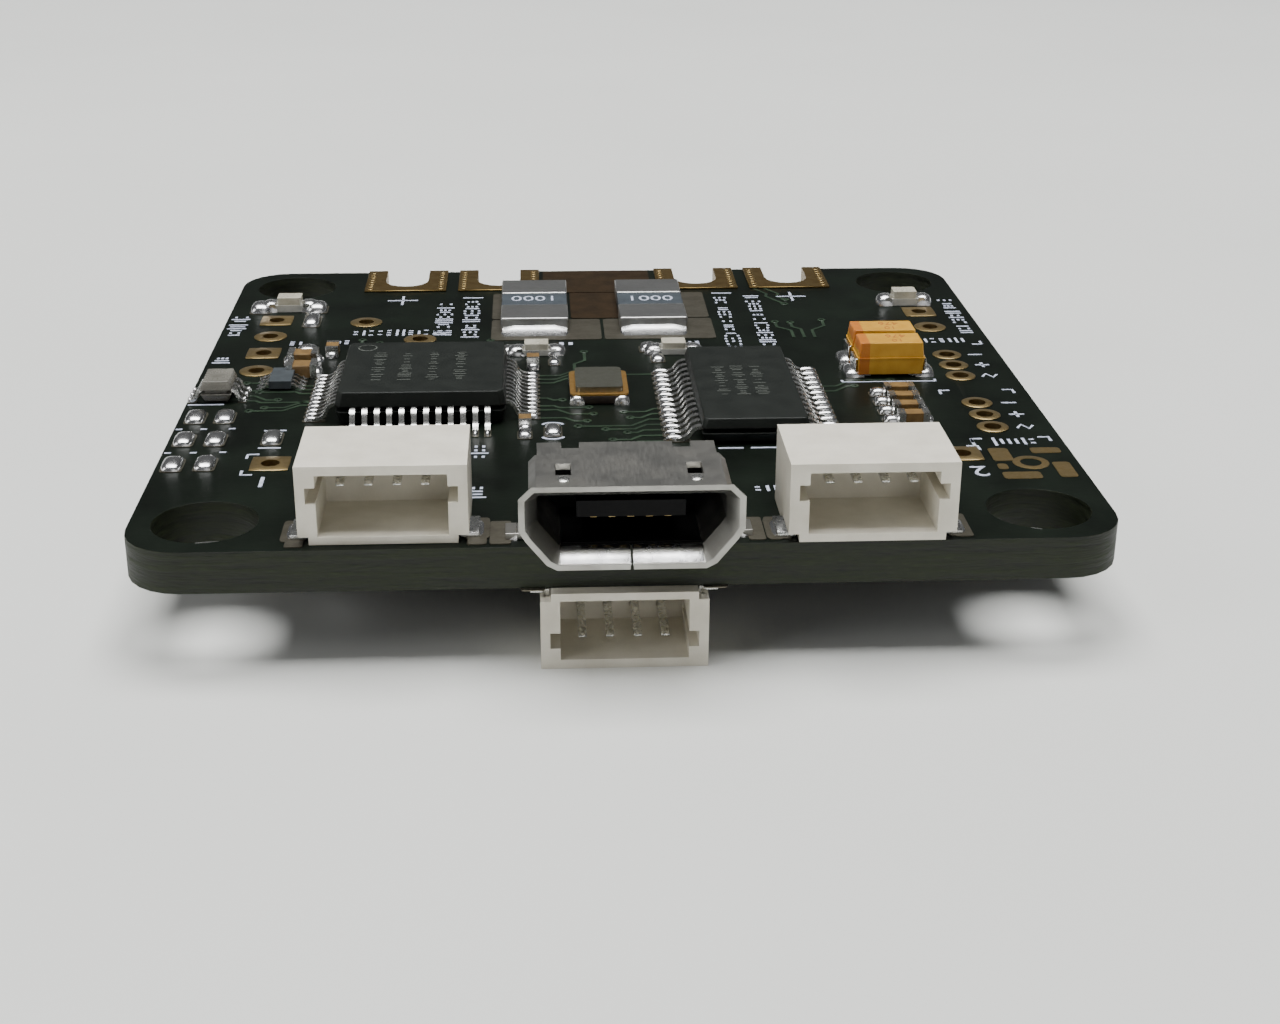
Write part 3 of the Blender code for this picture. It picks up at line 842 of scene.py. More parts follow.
def makeUsb():
    low, high = nodeBox("usb_shell")
    mid = Vector(((low.x + high.x) / 2, 0, 0))
    eased("usb_socket_shell", "usb_shell", usb["ease"], "shellSteel", usb["smooth"])
    # painted shade: a black sheet over the socket's steel floor stands for the dark inside of the socket
    shadeSheet = softened(block(*(mid + Vector(corner) for corner in usb["shadeSheet"])), *usb["shadeSheetEase"])
    finished("usb_floor_liner", shadeSheet, ["blackNylon"])
    eased("usb_socket_block", "usb_insulator", usb["blockEase"], "blackNylon")
    for number in range(1, 6):
        name = f"usb_socket_contact_{number}"
        eased(name, f"usb_contact_{number}", usb["contactEase"], "padGold")
    lips = together([lipHalf(side) for side in (-1, 1)])
    bmesh.ops.translate(lips, vec=mid, verts=lips.verts)
    finished("usb_lower_lip", lips, ["solder"])
    places = [mid.x + side * finger["x"] for side in (-1, 1)]
    finished("usb_spring_fingers", together([springFinger(x) for x in places]), ["shellSteel"])
    dimples = [((x, dimple["y"], usb["roof"] - dimple["sink"]), 0, dimple["size"]) for x in places]
    placed("usb_dimples", domeShape(), dimples, "leadTin", "usb_steel")
    length, y = usb["foot"][0], usb["footY"]
    feet = [((low.x + length, y, 0), 180, usb["foot"]), ((high.x - length, y, 0), 0, usb["foot"])]
    placed("usb_solder", rampShape(), feet, "solder", "contact_tin")


makeUsb()
print("usb socket")

# Packages with leads: case copied from its node, leads grown as rows, a pad and a bead at each toe.
packages = {
    "controller": dict(count=12, pitch=0.5, sides=(0, 90, 180, 270), width=0.22, gauge=0.13,
                       toe=0.42, bead=1.5, lift=0.05, finish="chipMould"),
    "display_chip": dict(count=14, pitch=0.65, sides=(0, 180), width=0.3, gauge=0.14,
                         toe=0.5, bead=1.7, lift=0.1, finish="chipMould"),
    "driver": dict(count=3, pitch=0.65, sides=(0, 180), width=0.3, gauge=0.12,
                   toe=0.14, bead=1.4, lift=0.08, finish="paleMould"),
}
caseEase = (0.06, 2, 20)


def halves(low, high):  # half the length along X, then along Y
    return (high.x - low.x) / 2, (high.y - low.y) / 2


def makePackages():
    pads, fillets = [], []
    for name, look in packages.items():
        caseLow, caseHigh = nodeBox(f"{name}_case")
        mid = (caseLow + caseHigh) / 2
        reaches, edges = halves(*nodeBox(f"{name}_leads")), halves(caseLow, caseHigh)
        eased(f"{name}_body", f"{name}_case", caseEase, look["finish"])
        bead = (look["toe"] * look["bead"], look["width"] * 1.05, look["gauge"] + look["lift"])
        pad = (look["toe"] * 2 + 0.1, look["width"] * 1.3, 0.03)
        spots = []
        for turn in look["sides"]:
            side = 0 if turn % 180 == 0 else 1
            tip = reaches[side] - 0.06
            for shift in rowShifts(look["count"], look["pitch"]):
                spots.append(((*outward(mid, edges[side], shift, turn), 0.03), turn, plain))
                fillets.append(((*outward(mid, tip + 0.1, shift, turn), 0.02), turn, bead))
                pads.append(((*outward(mid, tip, shift, turn), skin), turn, pad))
        values = {
            "Reach": reaches[0] - edges[0], "Rise": (caseHigh.z - 0.05) * 0.5 + 0.05,
            "Width": look["width"], "Gauge": look["gauge"], "Finish": finishes["leadTin"],
        }
        mesh = grown("lead", spotMesh(spots), values)
        finishedMesh(f"{name}_lead_rows", mesh, ["leadTin"], [f"{name}_leads"])
    placed("lead_pads", padShape(), pads, "tinnedPour", "contact_tin")
    placed("lead_fillets", domeShape(4, 12, 0.5), fillets, "solder", "contact_tin")


makePackages()

# Rows of ticks where a maker prints, and a ring at pin one. Node, rows, first row, step.
markRows = (("controller_case", 4, -1.9, 1.15), ("display_chip_case", 3, -1.0, 0.8))
markLook = dict(seed=11, width=0.07, high=0.012, first=-1.8, last=1.9)
pinOne = dict(outer=0.42, hole=0.36, inset=0.95)


def makeLaserMarks():
    draws = random.Random(markLook["seed"])
    meshes = []
    for node, rows, first, step in markRows:
        low, high = nodeBox(node)
        mid = (low + high) / 2
        lines = []
        for row in range(rows):
            x = mid.x + first + row * step
            y = mid.y + markLook["first"]
            while y < mid.y + markLook["last"]:
                tall = draws.choice((0.25, 0.4, 0.55))
                lines.append([(x - tall / 2, y), (x + tall / 2, y)])
                y += draws.choice((0.2, 0.28, 0.42))
        meshes.append(strokes(lines, markLook["width"], markLook["high"], high.z + 0.003, "laserMark"))
    low, high = nodeBox("controller_case")
    ring = ringShape(roundPoints(pinOne["outer"]), pinOne["hole"], markLook["high"])
    place = (low.x + pinOne["inset"], high.y - pinOne["inset"], high.z - skin)
    meshes.append(placedMesh(ring, [(place, 0, plain)], "laserMark"))
    finished("laser_marks", meshesTogether(meshes), ["laserMark"])


makeLaserMarks()
print("chips")

crystal = dict(
    ease=(0.05, 2, 40), rimIn=0.02, rimCorner=0.25, rimLow=0.2, rimHigh=0.03, rimEase=(0.07, 3, 40),
    lidIn=0.5, lidCorner=0.24, lidEase=(0.08, 3, 40), beadX=0.95, beadIn=0.12, bead=(0.55, 0.7, 0.42),
)


def makeCrystal():
    low, high = nodeBox("crystal_base")
    lidLow, lidHigh = nodeBox("crystal_lid")
    mid = (low + high) / 2

    def layer(name, inset, corner, z0, z1, ease, finishName, replaced=()):
        outline = roundedRect(mid, high.x - low.x - inset, high.y - low.y - inset, corner, 4)
        finished(name, softened(prism(outline, z0, z1), *ease), [finishName], replaced)

    eased("crystal_foot", "crystal_base", crystal["ease"], "darkCeramic")
    layer("crystal_rim", crystal["rimIn"], crystal["rimCorner"], high.z - crystal["rimLow"],
          lidLow.z + crystal["rimHigh"], crystal["rimEase"], "rimGold")
    layer("crystal_cover", crystal["lidIn"], crystal["lidCorner"], lidLow.z, lidHigh.z,
          crystal["lidEase"], "lidNickel", ["crystal_lid"])
    spots = []
    for sx in (-1, 1):
        for y, turn in ((low.y + crystal["beadIn"], -90), (high.y - crystal["beadIn"], 90)):
            spots.append(((mid.x + sx * crystal["beadX"], y, skin), turn, crystal["bead"]))
    placed("crystal_solder", domeShape(4, 14, 0.6), spots, "solder", "contact_tin")


makeCrystal()

shunts = dict(stripEase=(0.09, 3, 35), coatEase=(0.05, 2, 35), figureSize=1.15, solderIn=0.05)


def makeShunts():
    fillets, marks = [], []
    for side, turn in (("left", 0), ("right", 180)):
        strip, coat = f"shunt_{side}_strip", f"shunt_{side}_coat"
        eased(f"{side}_shunt_strip", strip, shunts["stripEase"], "shuntTin")
        eased(f"{side}_shunt_coat", coat, shunts["coatEase"], "slateCoat")
        low, high = nodeBox(strip)
        coatLow, coatHigh = nodeBox(coat)
        x, wide = (low.x + high.x) / 2, high.x - low.x
        fillets.append(((x, low.y + shunts["solderIn"], 0.02), -90, (0.85, wide - 0.02, 0.36)))
        fillets.append(((x, high.y - shunts["solderIn"], 0.02), 90, (0.5, wide - 0.06, 0.3)))
        place = (x, (coatLow.y + coatHigh.y) / 2, coatHigh.z + 0.004)
        marks.append(figures("0001", place, shunts["figureSize"], turn))
    placed("shunt_solder", rampShape(12, 0.08), fillets, "solder", "contact_tin")
    finished("shunt_figures", meshesTogether(marks), ["legendInk"])


makeShunts()

tantalums = dict(
    ease=(0.05, 2, 30), terminalEase=(0.03, 1, 40), seamAt=0.55, seamHigh=0.06, seamOut=(0.06, 0.04),
    marks=(("476", 0.3, 0.62), ("10", -0.32, 0.55)), bead=(0.95, 1.45, 0.36), beadIn=0.05,
)


def makeTantalums():
    marks, beads, seams = [], [], []
    for row in ("front", "rear"):
        body = f"tantalum_{row}_body"
        eased(f"{row}_tantalum_body", body, tantalums["ease"], "orangeMould")
        low, high = nodeBox(body)
        mid = (low + high) / 2
        outX, outY = tantalums["seamOut"]
        outline = roundedRect(mid, high.x - low.x + outX, high.y - low.y + outY, 0.08)
        z = high.z * tantalums["seamAt"]
        seams.append(softened(prism(outline, z, z + tantalums["seamHigh"]), 0.015, 1))
        for words, shift, size in tantalums["marks"]:
            place = (mid.x + 0.3, mid.y + shift, high.z + skin)
            marks.append(figures(words, place, size, 180, 0.012))
        for terminal in ("anode", "cathode"):
            node = f"tantalum_{row}_{terminal}"
            eased(f"{row}_tantalum_{terminal}", node, tantalums["terminalEase"], "leadTin")
            edgeLow, edgeHigh = nodeBox(node)
            out = 1 if (edgeLow.x + edgeHigh.x) / 2 > mid.x else -1
            edge = edgeHigh.x if out > 0 else edgeLow.x
            place = (edge - out * tantalums["beadIn"], mid.y, skin)
            beads.append((place, 0 if out > 0 else 180, tantalums["bead"]))
    finished("tantalum_seams", together(seams), ["orangeMould"])
    finished("tantalum_figures", meshesTogether(marks), ["brownInk"])
    placed("tantalum_solder", domeShape(5, 16, 0.6), beads, "solder", "contact_tin")


makeTantalums()
print("crystal, shunts and tantalums")

# Chip parts: a body, wrapped ends and a fillet at each end. x, y, long axis, long, wide, high.
small, large = (1.05, 0.55, 0.4), (1.6, 0.8, 0.6)
chipParts = [(12.35, y, "X", 1.25, 0.6, 0.45) for y in (-2.3, -3.45, -4.6, -5.75)] + [
    (-3.35, 2.2, "Y", 1.05, 0.55, 0.5), (-12.45, 4.3, "Y", 1.05, 0.55, 0.45),
    (-3.7, -5.6, "Y", 1.0, 0.5, 0.4),
]
below = [
    (-1.4, -3.6, "X", *small), (1.4, -3.6, "X", *small), (3.2, 0.6, "X", *small), (-9.6, 8.0, "Y", *large),
    (11.5, 1.2, "Y", *small), (11.5, -1.2, "Y", *small), (-11.2, -1.5, "Y", *large), (-11.5, 4.0, "X", *small),
    (-11.5, 2.8, "X", *small), (5.2, 4.2, "Y", *large), (6.6, 4.2, "Y", *large), (-3.1, 1.5, "X", *small),
    (3.2, -1.2, "X", *small), (-6, 9.4, "X", *large), (-6, 3.6, "X", *small), (8.5, -4.5, "X", *small),
    (8.5, -5.7, "X", *small), (-8.8, -5.0, "Y", *small), (-10, -5.0, "Y", *small),
]

# Where the ends sit and how big ends and fillets are, as shares of the part; a fillet's length is in mm.
chipEnds = dict(at=0.4, end=(0.22, 1.04, 1.05), fillet=(0.5, 1.05, 0.62))
lightEnds = dict(at=0.43, end=(0.16, 1.03, 0.56), fillet=(0.95, 1.15, 0.7))
capacitorEnds = dict(at=0.4, end=(0.22, 1.05, 1.03), fillet=(0.55, 1.05, 0.62))
filletAt = 0.49


def addEnds(ends, fillets, look, place, alongX, run, across, tall, hung=False):  # both ends of one part
    x, y, z = place
    for out in (-1, 1):
        dx, dy = (out, 0) if alongX else (0, out)
        facing = math.degrees(math.atan2(-dy if hung else dy, dx))
        reach, (long, wide, high) = run * look["at"], look["end"]
        size = (run * long, across * wide, tall * high)
        ends.append(((x + dx * reach, y + dy * reach, z), 0 if alongX else 90, size, hung))
        reach, (long, wide, high) = run * filletAt, look["fillet"]
        size = (long, across * wide, tall * high)
        fillets.append(((x + dx * reach, y + dy * reach, z), facing, size, hung))


def footprint(node):  # its middle just off the board, whether it runs along X, its length, width and height
    low, high = nodeBox(node)
    wide, long = high.x - low.x, high.y - low.y
    alongX = wide > long
    mid = ((low.x + high.x) / 2, (low.y + high.y) / 2, 0.01)
    return mid, alongX, max(wide, long), min(wide, long), high.z


def makeChipParts():
    bodies, ends, fillets = [], [], []
    for listed, hung in ((chipParts, False), (below, True)):
        z = -thick - 0.01 if hung else 0.01
        for x, y, run, long, wide, high in listed:
            bodies.append(((x, y, z), 0 if run == "X" else 90, (long * 0.62, wide, high), hung))
            addEnds(ends, fillets, chipEnds, (x, y, z), run == "X", long, wide, high, hung)
    placed("chip_part_bodies", brickShape(), bodies, "tanCeramic", "ceramic_tan")
    placed("chip_part_ends", brickShape(0.1), ends, "leadTin", "contact_tin")
    placed("chip_part_fillets", domeShape(4, 14, 0.6), fillets, "solder", "contact_tin")


makeChipParts()

# Indicator lights: white base, domed lens, wrapped ends, big fillets.
light = dict(
    baseLow=0.02, baseTop=0.5, baseEase=(0.03, 1), lens=(0.6, 0.94), lensCorner=0.08, lensEase=(0.07, 3, 40),
)


def makeLights():
    ends, fillets = [], []
    for node in ("led_rear_left", "led_rear_right", "led_mid_left", "led_mid_right"):
        low, high = nodeBox(node)
        mid, alongX, run, across, tall = footprint(node)
        step = tall * light["baseTop"]
        base = softened(block((low.x, low.y, light["baseLow"]), (high.x, high.y, step)), *light["baseEase"])
        shareX, shareY = light["lens"] if alongX else light["lens"][::-1]
        wide, long = (high.x - low.x) * shareX, (high.y - low.y) * shareY
        lens = prism(roundedRect(mid, wide, long, light["lensCorner"]), step, tall)
        lens = softened(lens, *light["lensEase"])
        finished(node + "_light", together([base, lens], [0, 1]), ["ledWhite", "ledLens"], [node])
        addEnds(ends, fillets, lightEnds, mid, alongX, run, across, tall)
    placed("light_ends", brickShape(0.08), ends, "leadTin", "contact_tin")
    placed("light_solder", domeShape(4, 14, 0.6), fillets, "solder", "contact_tin")


makeLights()

capacitorEase = (0.05, 2, 30)


def makeCapacitors():
    ends, fillets = [], []
    for node in ("capacitor_a", "capacitor_b"):
        eased(node + "_body", node, capacitorEase, "tanCeramic")
        addEnds(ends, fillets, capacitorEnds, *footprint(node))
    placed("capacitor_ends", brickShape(0.1), ends, "leadTin", "contact_tin")
    placed("capacitor_fillets", domeShape(4, 14, 0.6), fillets, "solder", "contact_tin")


makeCapacitors()

# The small grey eight-lead part, grown like the other leaded parts.
smallPart = dict(
    mid=(-14.25, 0.2), size=(0.95, 1.9, 0.42), gap=0.08, ease=(0.06, 2), count=4, pitch=0.48,
    lead=dict(Reach=0.38, Rise=0.2, Width=0.2, Gauge=0.08), toeAt=0.34, toe=(0.24, 0.26, 0.16),
)


def makeSmallPart():
    x, y = smallPart["mid"]
    wide, long, high = smallPart["size"]
    case = block((x - wide / 2, y - long / 2, smallPart["gap"]), (x + wide / 2, y + long / 2, high))
    finished("level_shifter_body", softened(case, *smallPart["ease"]), ["greyMould"])
    spots, toes = [], []
    for turn, out in ((0, 1), (180, -1)):
        for shift in rowShifts(smallPart["count"], smallPart["pitch"]):
            spots.append(((x + out * wide / 2, y + shift, 0.02), turn, plain))
            toe = x + out * (wide / 2 + smallPart["toeAt"])
            toes.append(((toe, y + shift, 0.01), turn, smallPart["toe"]))
    mesh = grown("lead", spotMesh(spots), dict(smallPart["lead"], Finish=finishes["leadTin"]))
    finishedMesh("level_shifter_leads", mesh, ["leadTin"])
    placed("level_shifter_solder", rampShape(), toes, "solder", "contact_tin")


makeSmallPart()
print("small parts")

# Solder beads on the open pads, each with its pad. x, y, wide, long, high.
openBeads = [
    (-17.3, -4.2, 0.8, 1.35, 0.4), (-16.1, -4.2, 0.8, 1.35, 0.4), (-17.35, -6.85, 0.8, 1.35, 0.4),
    (-16.1, -6.85, 0.8, 1.35, 0.4), (-17.35, -9.6, 0.8, 1.35, 0.4), (-16.1, -9.55, 0.8, 1.35, 0.4),
    (-13.85, -6.8, 0.8, 1.4, 0.4), (-2.57, -6.4, 0.7, 1.2, 0.4), (-13.9, 9.3, 0.8, 1.8, 0.5),
    (-3.71, -6.75, 0.55, 0.9, 0.35), (-13.65, 4.75, 0.9, 0.9, 0.4), (-2.35, 4.1, 0.55, 0.9, 0.35),
    (-2.4, 2.6, 0.5, 0.8, 0.3), (-16.55, 11.3, 1.0, 1.25, 0.6), (-13.85, 11.3, 1.0, 1.25, 0.6),
    (-4.45, 4.3, 0.6, 0.9, 0.4), (1.9, 4.4, 0.7, 0.9, 0.45), (2.3, 2.9, 0.6, 0.9, 0.35),
] + [(11.45, y, 0.7, 0.62, 0.42) for y in (-2.3, -3.45, -4.6, -5.75)]
beadLook = dict(margin=0.06, padHigh=0.03, share=0.72)


def makeBeads():
    pads, beads = [], []
    margin = beadLook["margin"]
    for x, y, wide, long, high in openBeads:
        pads.append(((x, y, 0.001), 0, (wide + margin, long + margin, beadLook["padHigh"])))
        beads.append(((x, y, 0.02), 0, (wide, long, high * beadLook["share"])))
    placed("open_pads", padShape(), pads, "tinnedPour", "pad_gold")
    placed("open_beads", domeShape(6, 20, 0.75), beads, "solder", "contact_tin")


makeBeads()

# Rows of ticks where words would be: x, y, length, height, direction of the row.
tickRows = [
    (-7.6, 9.5, 5.0, 0.85, "Y"), (-6.3, 9.6, 6.0, 0.85, "Y"), (6.0, 8.8, 8.4, 0.8, "Y"), (7.6, 8.8, 8.4, 0.8, "Y"),
    (17.2, 9.1, 5.4, 0.75, "Y"), (-17.35, 8.9, 3.2, 0.9, "Y"), (-17.35, 3.6, 0.9, 0.8, "Y"),
    (-9.4, 7.4, 4.6, 0.9, "X"), (15.95, 5.25, 1.9, 0.9, "X"), (15.7, -8.25, 2.8, 0.9, "X"),
    (-5.5, -8.4, 1.5, 0.7, "Y"), (-5.5, -12.9, 0.9, 0.7, "Y"), (5.2, -12.9, 1.5, 0.7, "X"),
    (-14.4, 5.9, 0.8, 0.55, "X"), (-12.2, 6.0, 0.8, 0.55, "X"), (-1.7, 5.4, 0.7, 0.5, "X"),
    (4.3, 5.3, 0.7, 0.5, "X"), (-14.2, 1.9, 0.5, 0.7, "Y"),
]

# Tracks under the resist: each leaves a lead, turns once at 45 degrees and ends at a via.
tracks = dict(width=0.15, high=0.016, seed=7, viaOuter=0.2, viaHole=0.1, viaHigh=0.03, sides=12)
keepOff = dict(
    edge=17.0, rear=13.6, wire=1.15, corner=2.5, cornerAt=15.25, part=0.2, via=0.5, ink=0.2, chip=0.3,
)

# Loose groups of tracks: x, y, heading in degrees, how many, step between them.
fans = [
    (-15, -3, 180, 8, 0.42), (-2.2, -3.9, 0, 9, 0.36), (9.9, 6, 90, 7, 0.5), (-1.5, 1.5, 90, 6, 0.4),
    (9.7, -6.5, 0, 8, 0.44), (6.6, 13.5, -60, 5, 0.5), (-12, 12.5, 20, 6, 0.5),
]


def makeTracks():
    draws = random.Random(tracks["seed"])
    ink, chip, near = keepOff["ink"], keepOff["chip"], keepOff["part"]
    printed = []
    for x, y, length, tall, run in tickRows:
        along, beside = length / 2 + ink, tall / 2 + ink
        printed.append((x, y, beside, along) if run == "Y" else (x, y, along, beside))
    printed += [((x0 + x1) / 2, (y0 + y1) / 2, (x1 - x0) / 2, (y1 - y0) / 2) for x0, x1, y0, y1, _ in pours]
    printed += [(x, y, wide / 2 + ink, long / 2 + ink) for x, y, wide, long, _ in openBeads]
    printed += [(x, y, long / 2 + chip, long / 2 + chip) for x, y, _, long, *_ in chipParts]
    boxes = [nodeBox(node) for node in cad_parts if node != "circuit_board"]
    taken = [box for box in boxes if box[0].z > -0.5]
    at = keepOff["cornerAt"]
    corners = [(sx * at, sy * at) for sx in (-1, 1) for sy in (-1, 1)]
    lines, vias = [], []

    def clearOf(x, y):  # off the edge, the holes, the parts and the printed rows
        if max(abs(x), abs(y)) > keepOff["edge"] or y > keepOff["rear"]:
            return False
        if any(math.hypot(x - u, y - v) < keepOff["wire"] for u, v in wireHoles):
            return False
        if any(math.hypot(x - u, y - v) < keepOff["corner"] for u, v in corners):
            return False
        if any(abs(x - u) < wide and abs(y - v) < long for u, v, wide, long in printed):
            return False
        return not any(
            low.x - near < x < high.x + near and low.y - near < y < high.y + near for low, high in taken
        )

    def route(x, y, heading, first, second, third, side):
        points = [(x, y)]
        for turn, length in ((0, first), (45 * side, second), (0, third)):
            a = math.radians(heading + turn)
            x, y = x + length * math.cos(a), y + length * math.sin(a)
            points.append((x, y))
        crowded = any(math.hypot(x - u, y - v) < keepOff["via"] for u, v in vias)
        if not crowded and all(clearOf(*point) for point in points[1:]):
            lines.append(points)
            vias.append((x, y))

    for name, look in packages.items():
        low, high = nodeBox(f"{name}_leads")
        mid, reaches = (low + high) / 2, halves(low, high)
        for turn in look["sides"]:
            reach = reaches[0 if turn % 180 == 0 else 1] + look["toe"]
            for i, shift in enumerate(rowShifts(look["count"], look["pitch"])):
                x, y = outward(mid, reach, shift, turn)
                first = 0.15 + 0.14 * abs(i - look["count"] / 2)
                second, third = draws.uniform(0.3, 1.2), draws.uniform(0.2, 2.2)
                route(x, y, turn, first, second, third, 1 if shift > 0 else -1)
    for x0, y0, heading, count, step in fans:
        a = math.radians(heading + 90)
        for i in range(count):
            lengths = draws.uniform(0.8, 1.4), draws.uniform(0.4, 1.0), draws.uniform(0.4, 1.6)
            x, y = x0 + i * step * math.cos(a), y0 + i * step * math.sin(a)
            route(x, y, heading, *lengths, draws.choice((-1, 1)))
    width, high = tracks["width"], tracks["high"]
    mirrored = [[(x, -y) for x, y in line] for line in lines[::2]]
    for name, drawn, z in (("tracks_top", lines, high / 2), ("tracks_under", mirrored, -thick - high / 2)):
        mesh = strokes(drawn, width, high, z, "copperUnderMask")
        finishedMesh(name, mesh, ["copperUnderMask"])
    outline = roundPoints(tracks["viaOuter"], tracks["sides"])
    shape = ringShape(outline, tracks["viaHole"], tracks["viaHigh"], tracks["sides"])
    placed("vias", shape, bothFaces(vias), "copperUnderMask", "solder_mask")


makeTracks()
print("tracks and vias")

# White legend: crosses, dashes, signs, brackets, loose lines, plain figures, and the rows of ticks.
legend = dict(width=0.12, high=0.02, seed=3, arm=0.75, dash=0.5, bracket=0.45, signX=16.85, sign=0.32)
signs = [(3.05, "-"), (1.55, "+"), (0.05, "s"), (-3.6, "-"), (-5.05, "+"), (-6.55, "s")]
wave = [(-0.35, -0.15), (-0.12, 0.25), (0.12, -0.25), (0.35, 0.15)]
brackets = [
    (-14.6, -8.5, -1, 1), (-14.6, -10.7, -1, -1), (14.4, -8.7, 1, 1), (14.2, -1.9, -1, 1),
    (17.4, -1.9, 1, 1), (17.5, 4.6, 1, -1), (17.5, -7.8, 1, 1), (14.3, -7.9, -1, 1),
]
looseLines = [
    [(-17.9, -2.5), (-16.4, -2.5)], [(4.0, -8.55), (5.0, -8.55)], [(5.3, -8.55), (6.5, -8.55)],
    [(-14.3, -5.8), (-13.4, -5.8)], [(-14.3, -7.8), (-13.4, -7.8)],
    [(10.2, -0.35), (10.2, -0.6), (14.3, -0.6), (14.3, -0.35)],
]
arc = dict(mid=(-2.57, -6.27), wide=0.42, out=0.72, bulge=0.25)
topFigures = [("1", -13.7, -11.4, 1.5), ("2", 13.9, -11.4, 1.5), ("3", -14.9, 11.9, 0.9)]
underLegend = dict(arm=0.7, dash=0.6, gap=0.3, corner=0.6, figureSize=1.4)
underFigures = [("1", -13.6, -7.6), ("2", 13.6, -7.6), ("3", -12.6, 7.9), ("4", 12.6, 8.6)]
underNodes = ("motion_sensor", "buck_regulator", "power_inductor")


def cross(x, y, arm):
    return [[(x - arm, y), (x + arm, y)], [(x, y - arm), (x, y + arm)]]


def tickLines():
    draws = random.Random(legend["seed"])
    lines = []
    for x, y, length, tall, run in tickRows:
        at = -length / 2
        while at < length / 2:
            kind = draws.random()
            size = tall * draws.choice((0.6, 0.8, 1))
            cell = [[(at, -size / 2), (at, size / 2)]]
            if kind > 0.55:
                bars = (-size * 0.36, size * 0.36) if kind > 0.75 else (-size * 0.4, 0, size * 0.4)
                cell = [[(at - 0.07, v), (at + 0.13, v)] for v in bars]
            if kind > 0.12:
                for part in cell:
                    lines.append([(x + u, y + v) if run == "X" else (x + v, y + u) for u, v in part])
            at += 0.42 if kind > 0.55 else 0.3
    return lines


def topLines():
    lines = cross(-9.77, 12.75, legend["arm"]) + cross(9.62, 12.79, legend["arm"])
    lines += [[(x - legend["dash"], y), (x + legend["dash"], y)] for x, y in ((-6.3, 13.1), (6.17, 13.5))]
    x, arm = legend["signX"], legend["sign"]
    for y, mark in signs:
        if mark == "s":
            lines.append([(x + u, y + v) for u, v in wave])
        else:
            lines += cross(x, y, arm)[:1 if mark == "-" else 2]
    arm = legend["bracket"]
    lines += [[(x, y - arm * sy), (x, y), (x - arm * sx, y)] for x, y, sx, sy in brackets]
    lines += [[(x - 0.16, y), (x + 0.1, y)] for y in (-5.5, -8.2) for x in (-17.75, -16.75, -15.6)]
    lines += looseLines
    x, y = arc["mid"]
    for sy in (-1, 1):
        bends = [math.pi * i / 6 for i in range(7)]
        lines.append([
            (x + arc["wide"] * math.cos(a), y + sy * (arc["out"] + arc["bulge"] * math.sin(a))) for a in bends
        ])
    return lines


def underLines():
    lines = cross(-9.75, 12.75, underLegend["arm"]) + cross(9.75, 12.75, underLegend["arm"])
    lines += [[(x - underLegend["dash"], 12.75), (x + underLegend["dash"], 12.75)] for x in (-5.05, 5.05)]
    gap, arm = underLegend["gap"], underLegend["corner"]
    for node in underNodes:
        low, high = nodeBox(node)
        for x, sx in ((low.x - gap, 1), (high.x + gap, -1)):
            for y, sy in ((low.y - gap, 1), (high.y + gap, -1)):
                lines.append([(x + arm * sx, y), (x, y), (x, y + arm * sy)])
    return lines


def makeLegend():
    width, high = legend["width"], legend["high"]
    meshes = [strokes(tickLines() + topLines(), width, high, high / 2)]
    meshes += [figures(words, (x, y, 0.01), size, 180) for words, x, y, size in topFigures]
    finished("legend_top", meshesTogether(meshes), ["legendInk"])
    lower = [strokes(underLines(), width, high, -thick - high / 2)]
    for words, x, y in underFigures:
        lower.append(figures(words, (x, y, -thick - 0.01), underLegend["figureSize"], 0, 0.02, True))
    finished("legend_under", meshesTogether(lower), ["legendInk"])


makeLegend()

# A plain gold badge by the right front hole: bars (x from, x to, y from, y to) and a ring.
badge = dict(
    bars=(
        (14.7, 15.5, -10.4, -9.0), (16.4, 17.6, -9.6, -9.0), (16.9, 17.6, -12.2, -10.6),
        (14.7, 16.2, -12.3, -11.6), (14.7, 15.1, -11.3, -10.7),
    ),
    corner=0.15, low=0.001, high=0.02, ringAt=(16.1, -10.6, 0.001), ringOuter=0.72, ringHole=0.42,
)


def makeBadge():
    parts = plates(badge["bars"], badge["corner"], badge["low"], badge["high"])
    ring = ringShape(roundPoints(badge["ringOuter"]), badge["ringHole"], badge["high"])
    bmesh.ops.translate(ring, vec=badge["ringAt"], verts=ring.verts)
    finished("badge", together(parts + [ring]), ["padGold"])


makeBadge()
print("legend and badge")

# Underside: sensor, regulator and inductor with their joints, and test pads. Node, finish, slot, ease.
underParts = [
    ("motion_sensor", "greyMould", "grey_mould", 0.04), ("buck_regulator", "chipMould", "chip_mould", 0.05),
    ("power_inductor", "ferrite", "inductor_grey", 0.35),
]
underPads = dict(count=5, pitch=0.5, reach=1.04, size=(0.5, 0.26, 0.06), coilAt=0.42, coilSize=(1.6, 3.4, 0.05))
testPads = [(-14.5, y) for y in (0.5, -1.5, -3.5)] + [(9.5, 8.5), (9.5, 10.5)]
testPads += [(4.8, -9.6), (6.8, -9.6), (8.8, -9.6), (-5.0, -9.0), (-7.0, -9.0)]


